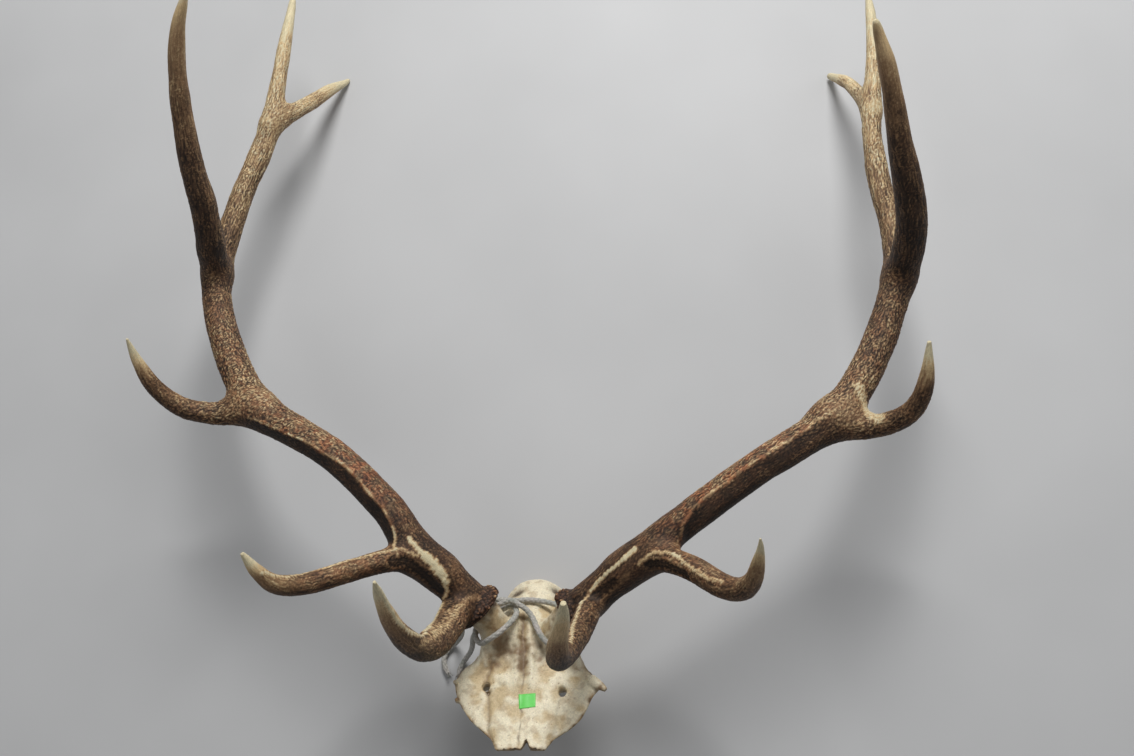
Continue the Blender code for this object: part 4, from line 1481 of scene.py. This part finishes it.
def make_skull():
    skull = skull_loft()
    for centre, radii in HOLLOWS:
        cut_away(skull, ball(centre, radii))
    for x, u, half_width, half_length in FORAMINA:
        cut_away(skull, ball((x, u, 20), (half_width, half_length, 80)))
    pedicles, lines = [], []
    for sign, rows in ((-1, RIGHT_BEAM), (1, LEFT_BEAM)):
        pedicle = pedicle_line(sign, rows)
        pedicles.append(pedicle)
        lines.append(np.column_stack([pedicle.point, pedicle.radius])[:-1])
        lines.append([(*from_skull((sign * x, u, t)), radius) for x, u, t, radius in PEDICLE_RAMP])
    for spur in SPURS:
        lines.append([(*from_skull(row[:3]), row[3]) for row in spur])
    tubes = tubes_object("pedicles", lines)
    with bpy.context.temp_override(active_object=skull, selected_editable_objects=[skull, tubes]):
        bpy.ops.object.join()
    mesh = voxel_mesh(skull, SKULL_VOXEL)
    points = to_table(mesh_points(mesh))
    edges = mesh_edges(mesh)
    place = to_skull(points)
    root = ease(22, 38, place[:, 2]) * ease(72, 90, place[:, 1]) * (1 - ease(160, 178, place[:, 1]))
    root *= ease(6, 20, np.abs(place[:, 0]))
    for line in pedicles:
        near, along = line.locate(points)
        root[near] *= 1 - ease(line.length - 34, line.length - 16, along)
    root = (0.9 * np.maximum(root, 0.04))[:, None]
    for _ in range(ROOT_PASSES):
        points = mix(points, neighbour_mean(points, edges), root)
    points[:, 2] = np.maximum(points[:, 2], 0.02)
    normals, quads = vertex_normals(mesh, points)
    moved, found = skull_relief(points, normals)
    tone = skull_colour(points, pedicles, found)
    points = hold_inside(moved)
    set_mesh_points(mesh, to_world(points))
    mesh.name = "skull_bone"
    add_values(mesh, "tone", tone)
    return finish_piece("skull_bone", mesh, bone_material(), "skull_plate")


BONE, PALE_BONE, OCHRE = (0.64, 0.5, 0.29), (0.86, 0.77, 0.56), (0.34, 0.205, 0.085)
STAIN, DEEP_STAIN = (0.15, 0.088, 0.042), (0.045, 0.026, 0.014)
RUST_SPECK, INNER_BONE = (0.30, 0.13, 0.06), (0.35, 0.27, 0.17)


def blend_colour(base, colour, share):
    return base * (1 - share[:, None]) + np.array(colour) * share[:, None]


def skull_relief(points, normals):
    """Raises the sutures, pits and channels of the bone, and measures what colours it."""
    place = to_skull(points)
    x, u, t = place.T
    outer = ease(-0.2, 0.35, normals @ from_skull_direction((0, 0, 1)))
    flat = place[:, :2] + np.column_stack([noise(place / 7, 3), noise(place / 7, 4)]) * 1.6
    suture = distance_to_line(flat, SUTURE)
    left, right = distance_to_line(flat, LEFT_SULCUS), distance_to_line(flat, RIGHT_SULCUS)
    middle = ease(92, 110, u) * (1 - ease(190, 215, u))
    groove = bell(suture, 1.3)
    lift = middle * (2.6 * bell(suture - 10, 5.0) - 1.6 * bell(suture, 3.4)) + spots(x, u, RELIEF)
    lift -= (0.35 + 0.5 * ease(215, 235, u)) * groove
    lift -= 2.4 * bell(left, 3.4) + 1.3 * bell(right, 3.6)
    lump_x, lump_u, lump_width = LUMP
    lump = np.hypot(x - lump_x, u - lump_u)
    lift += 1.5 * (1 - ease(3, lump_width, lump))
    lift -= 0.5 * bell(lump - lump_width, 1.2) * ease(188, 196, u)
    cloud, bump, crumb = noise(place / 24, 5), noise(place / 9, 6), noise(place / 3.2, 7)
    lift += 0.9 * cloud + 0.45 * bump + 0.14 * crumb
    nearest, _, number = beads(place / 6.5, 8)
    pores = (1 - ease(0.06, 0.2, nearest)) * (number > 0.62)
    dome = np.maximum(*(spot(x, u, *row) for row in DOME_HOLLOWS)) * ease(25, 40, t)
    lift -= 0.9 * pores + 4.0 * dome
    moved = to_skull(points + normals * (lift * mix(0.35, 1.0, outer))[:, None])
    along = np.column_stack([x / 5, x * 0, x * 0])
    ragged = NOSE_END + 2.2 * noise(along, 9) - NOTCH_DEPTH * bell(x - NOTCH, NOTCH_WIDTH)
    ragged += 1.2 * noise(np.column_stack([x / 2.2, t / 3, x * 0]), 10)
    cut = moved[:, 1] > ragged
    moved[:, 1] = np.minimum(moved[:, 1], ragged)
    lines = 0.75 * groove * (0.4 + 0.6 * ease(-0.3, 0.3, bump)) + 0.55 * bell(left, 2.0)
    lines += 0.25 * bell(right, 2.2) + 0.9 * spot(x, u, *PIT) + 0.8 * pores + 0.8 * dome
    return from_skull(moved), {
        "place": place, "outer": outer, "suture": suture, "middle": middle, "cloud": cloud,
        "bump": bump, "crumb": crumb, "dome": dome, "cut": cut, "lines": lines,
    }


def skull_colour(points, pedicles, found):
    """Colours the bone: cream, ochre and brown stains, dark lines, a crumbly edge and specks, with
    painted highlight on the ridges beside the suture and on the dome's top.
    """
    place, middle, suture, bump = (found[key] for key in ("place", "middle", "suture", "bump"))
    x, u, t = place.T
    tone = np.tile(np.array(BONE), (len(points), 1))
    tone = blend_colour(tone, PALE_BONE, ease(-0.45, 0.25, found["cloud"] + 0.4 * bump))
    # Paler on the raised ridges beside the suture and on the high top of the dome: painted
    # highlight.
    painted_highlight = middle * bell(suture - 13, 8) + ease(78, 40, u) * ease(20, 50, t)
    tone = blend_colour(tone, PALE_BONE, np.clip(painted_highlight, 0, 0.9))
    blotch = noise(place / 14, 11) + 0.6 * noise(place / 6, 12)
    stains = spots(x, u, STAINS)
    stains += 0.75 * bell(suture, 5.5) * ease(92, 110, u) * (1 - ease(170, 195, u))
    stains = np.clip(stains * (1 + 0.9 * blotch), 0, 1)
    ochre = ease(0.05, 0.6, blotch) * 0.45 + stains * 0.7
    for line in pedicles:
        near, along = line.locate(points)
        centre, _, _, radius = line.at(along)
        close = np.zeros(len(points))
        gap = np.linalg.norm(points[near] - centre, axis=1) - radius
        close[near] = (1 - ease(2, 14, gap)) * ease(20, 60, along)
        ochre += close * (0.45 + 0.5 * noise(place / 8, 13))
        stains += close * ease(0.1, 0.5, noise(place / 10, 14)) * 0.6
        stains += close * ease(line.length - 16, line.length - 4, spread(along, near, 0.0)) * 0.9
    tone = blend_colour(tone, OCHRE, np.clip(ochre, 0, 1) * 0.8)
    tone = blend_colour(tone, STAIN, np.clip(stains * 0.75, 0, 1))
    tone = blend_colour(tone, STAIN, np.clip(found["lines"], 0, 1))
    deep = 1.3 * found["dome"] - 0.5 + 0.4 * found["crumb"]
    tone = blend_colour(tone, DEEP_STAIN, np.clip(deep, 0, 1))
    rim = rim_share(place) * (0.6 + 0.8 * blotch)
    tone = blend_colour(tone, OCHRE, np.clip(rim, 0, 0.9))
    tone = blend_colour(tone, STAIN, np.clip(rim * ease(-0.1, 0.4, bump), 0, 0.8))
    tone = blend_colour(tone, STAIN, np.clip(found["cut"] * (0.7 + 1.2 * found["crumb"]), 0, 1))
    specks, _, chance = beads(place / 3.4, 15)
    speck = (1 - ease(0.1, 0.3, specks)) * (chance > 0.8) * found["outer"]
    tone = blend_colour(tone, RUST_SPECK, np.clip(speck * 0.7, 0, 1))
    return blend_colour(tone, INNER_BONE, (1 - found["outer"]) * 0.6)


def from_skull_direction(direction):
    return from_skull(np.array(direction, float)) - from_skull(np.zeros(3))


def rim_share(place):
    """1 at the skull plate's edge beside the eyes and nose, 0 inside it."""
    rows = station_rows()
    width = np.where(
        place[:, 0] < 0,
        np.interp(place[:, 1], rows[:, 0], rows[:, 1]),
        np.interp(place[:, 1], rows[:, 0], rows[:, 2]),
    )
    from_edge = np.minimum(width - np.abs(place[:, 0]), 288 - place[:, 1])
    return (1 - ease(0.5, 7.0, from_edge)) * ease(120, 150, place[:, 1])


STICKER_CORNERS = [(-8.5, 212), (14.5, 211.5), (15.5, 230.5), (-6.5, 232)]  # x and u
STICKER_LIFT = 0.35
STICKER_DIVISIONS = 14
STICKER_THICKNESS, CURLED_CORNER = 0.22, 0.5


def make_sticker(bone):
    """Thin label paper that follows the bone, a little proud of it where the bone dips."""
    graph = bpy.context.evaluated_depsgraph_get()
    tree = BVHTree.FromObject(bone, graph)
    out = Vector(from_skull_direction((0, 0, 1)))
    corners = np.array(STICKER_CORNERS, float)
    count = STICKER_DIVISIONS + 1
    heights = np.zeros((count, count))
    flats = np.zeros((count, count, 2))
    for row in range(count):
        for column in range(count):
            a, b = column / STICKER_DIVISIONS, row / STICKER_DIVISIONS
            x, u = mix(mix(corners[0], corners[1], a), mix(corners[3], corners[2], a), b)
            start = Vector(to_world(from_skull((x, u, 90.0))))
            hit = tree.ray_cast(start, -out)[0]
            flats[row, column] = x, u
            heights[row, column] = to_skull(to_table(hit))[2]
    smooth = heights.copy()
    for _ in range(6):
        padded = np.pad(smooth, 1, mode="edge")
        smooth = (padded[:-2, 1:-1] + padded[2:, 1:-1] + padded[1:-1, :-2] + padded[1:-1, 2:]) / 4
    top = np.maximum(smooth, heights + 0.05) + STICKER_LIFT
    corner_lift = np.zeros_like(top)
    corner_lift[-1, -1] = CURLED_CORNER
    points, faces = [], []
    for lift in (0.0, -STICKER_THICKNESS):
        for row in range(count):
            for column in range(count):
                height = top[row, column] + corner_lift[row, column] + lift
                points.append((*flats[row, column], height))

    def index(layer, row, column):
        return (layer * count + row) * count + column

    for row in range(count - 1):
        for column in range(count - 1):
            square = [(row, column), (row, column + 1), (row + 1, column + 1), (row + 1, column)]
            faces.append([index(0, *corner) for corner in square][::-1])
            faces.append([index(1, *corner) for corner in square])
    border = [(0, column) for column in range(count)]
    border += [(row, count - 1) for row in range(1, count)]
    border += [(count - 1, column) for column in range(count - 2, -1, -1)]
    border += [(row, 0) for row in range(count - 2, 0, -1)]
    for start, end in zip(border, border[1:] + border[:1]):
        faces.append([index(0, *start), index(0, *end), index(1, *end), index(1, *start)])
    mesh = face_outward(mesh_from("sticker_paper", to_world(from_skull(points)), faces))
    finish_piece("sticker_paper", mesh, sticker_material(), "sticker")


# Everything in its order

RIGHT_FORK, LEFT_FORK = 446.0, 462.0  # where each royal tine leaves its beam, along Y
RIGHT_ROWS = (RIGHT_BEAM, RIGHT_BROW, RIGHT_BEZ, RIGHT_TREZ, RIGHT_ROYAL, RIGHT_FIFTH)
LEFT_ROWS = (LEFT_BEAM, LEFT_BROW, LEFT_BEZ, LEFT_TREZ, LEFT_ROYAL, LEFT_FIFTH)

make_stage()
make_cord()
make_sticker(make_skull())
make_antler("right", dict(zip(BRANCHES, RIGHT_ROWS)), RIGHT_FORK)
make_antler("left", dict(zip(BRANCHES, LEFT_ROWS)), LEFT_FORK)
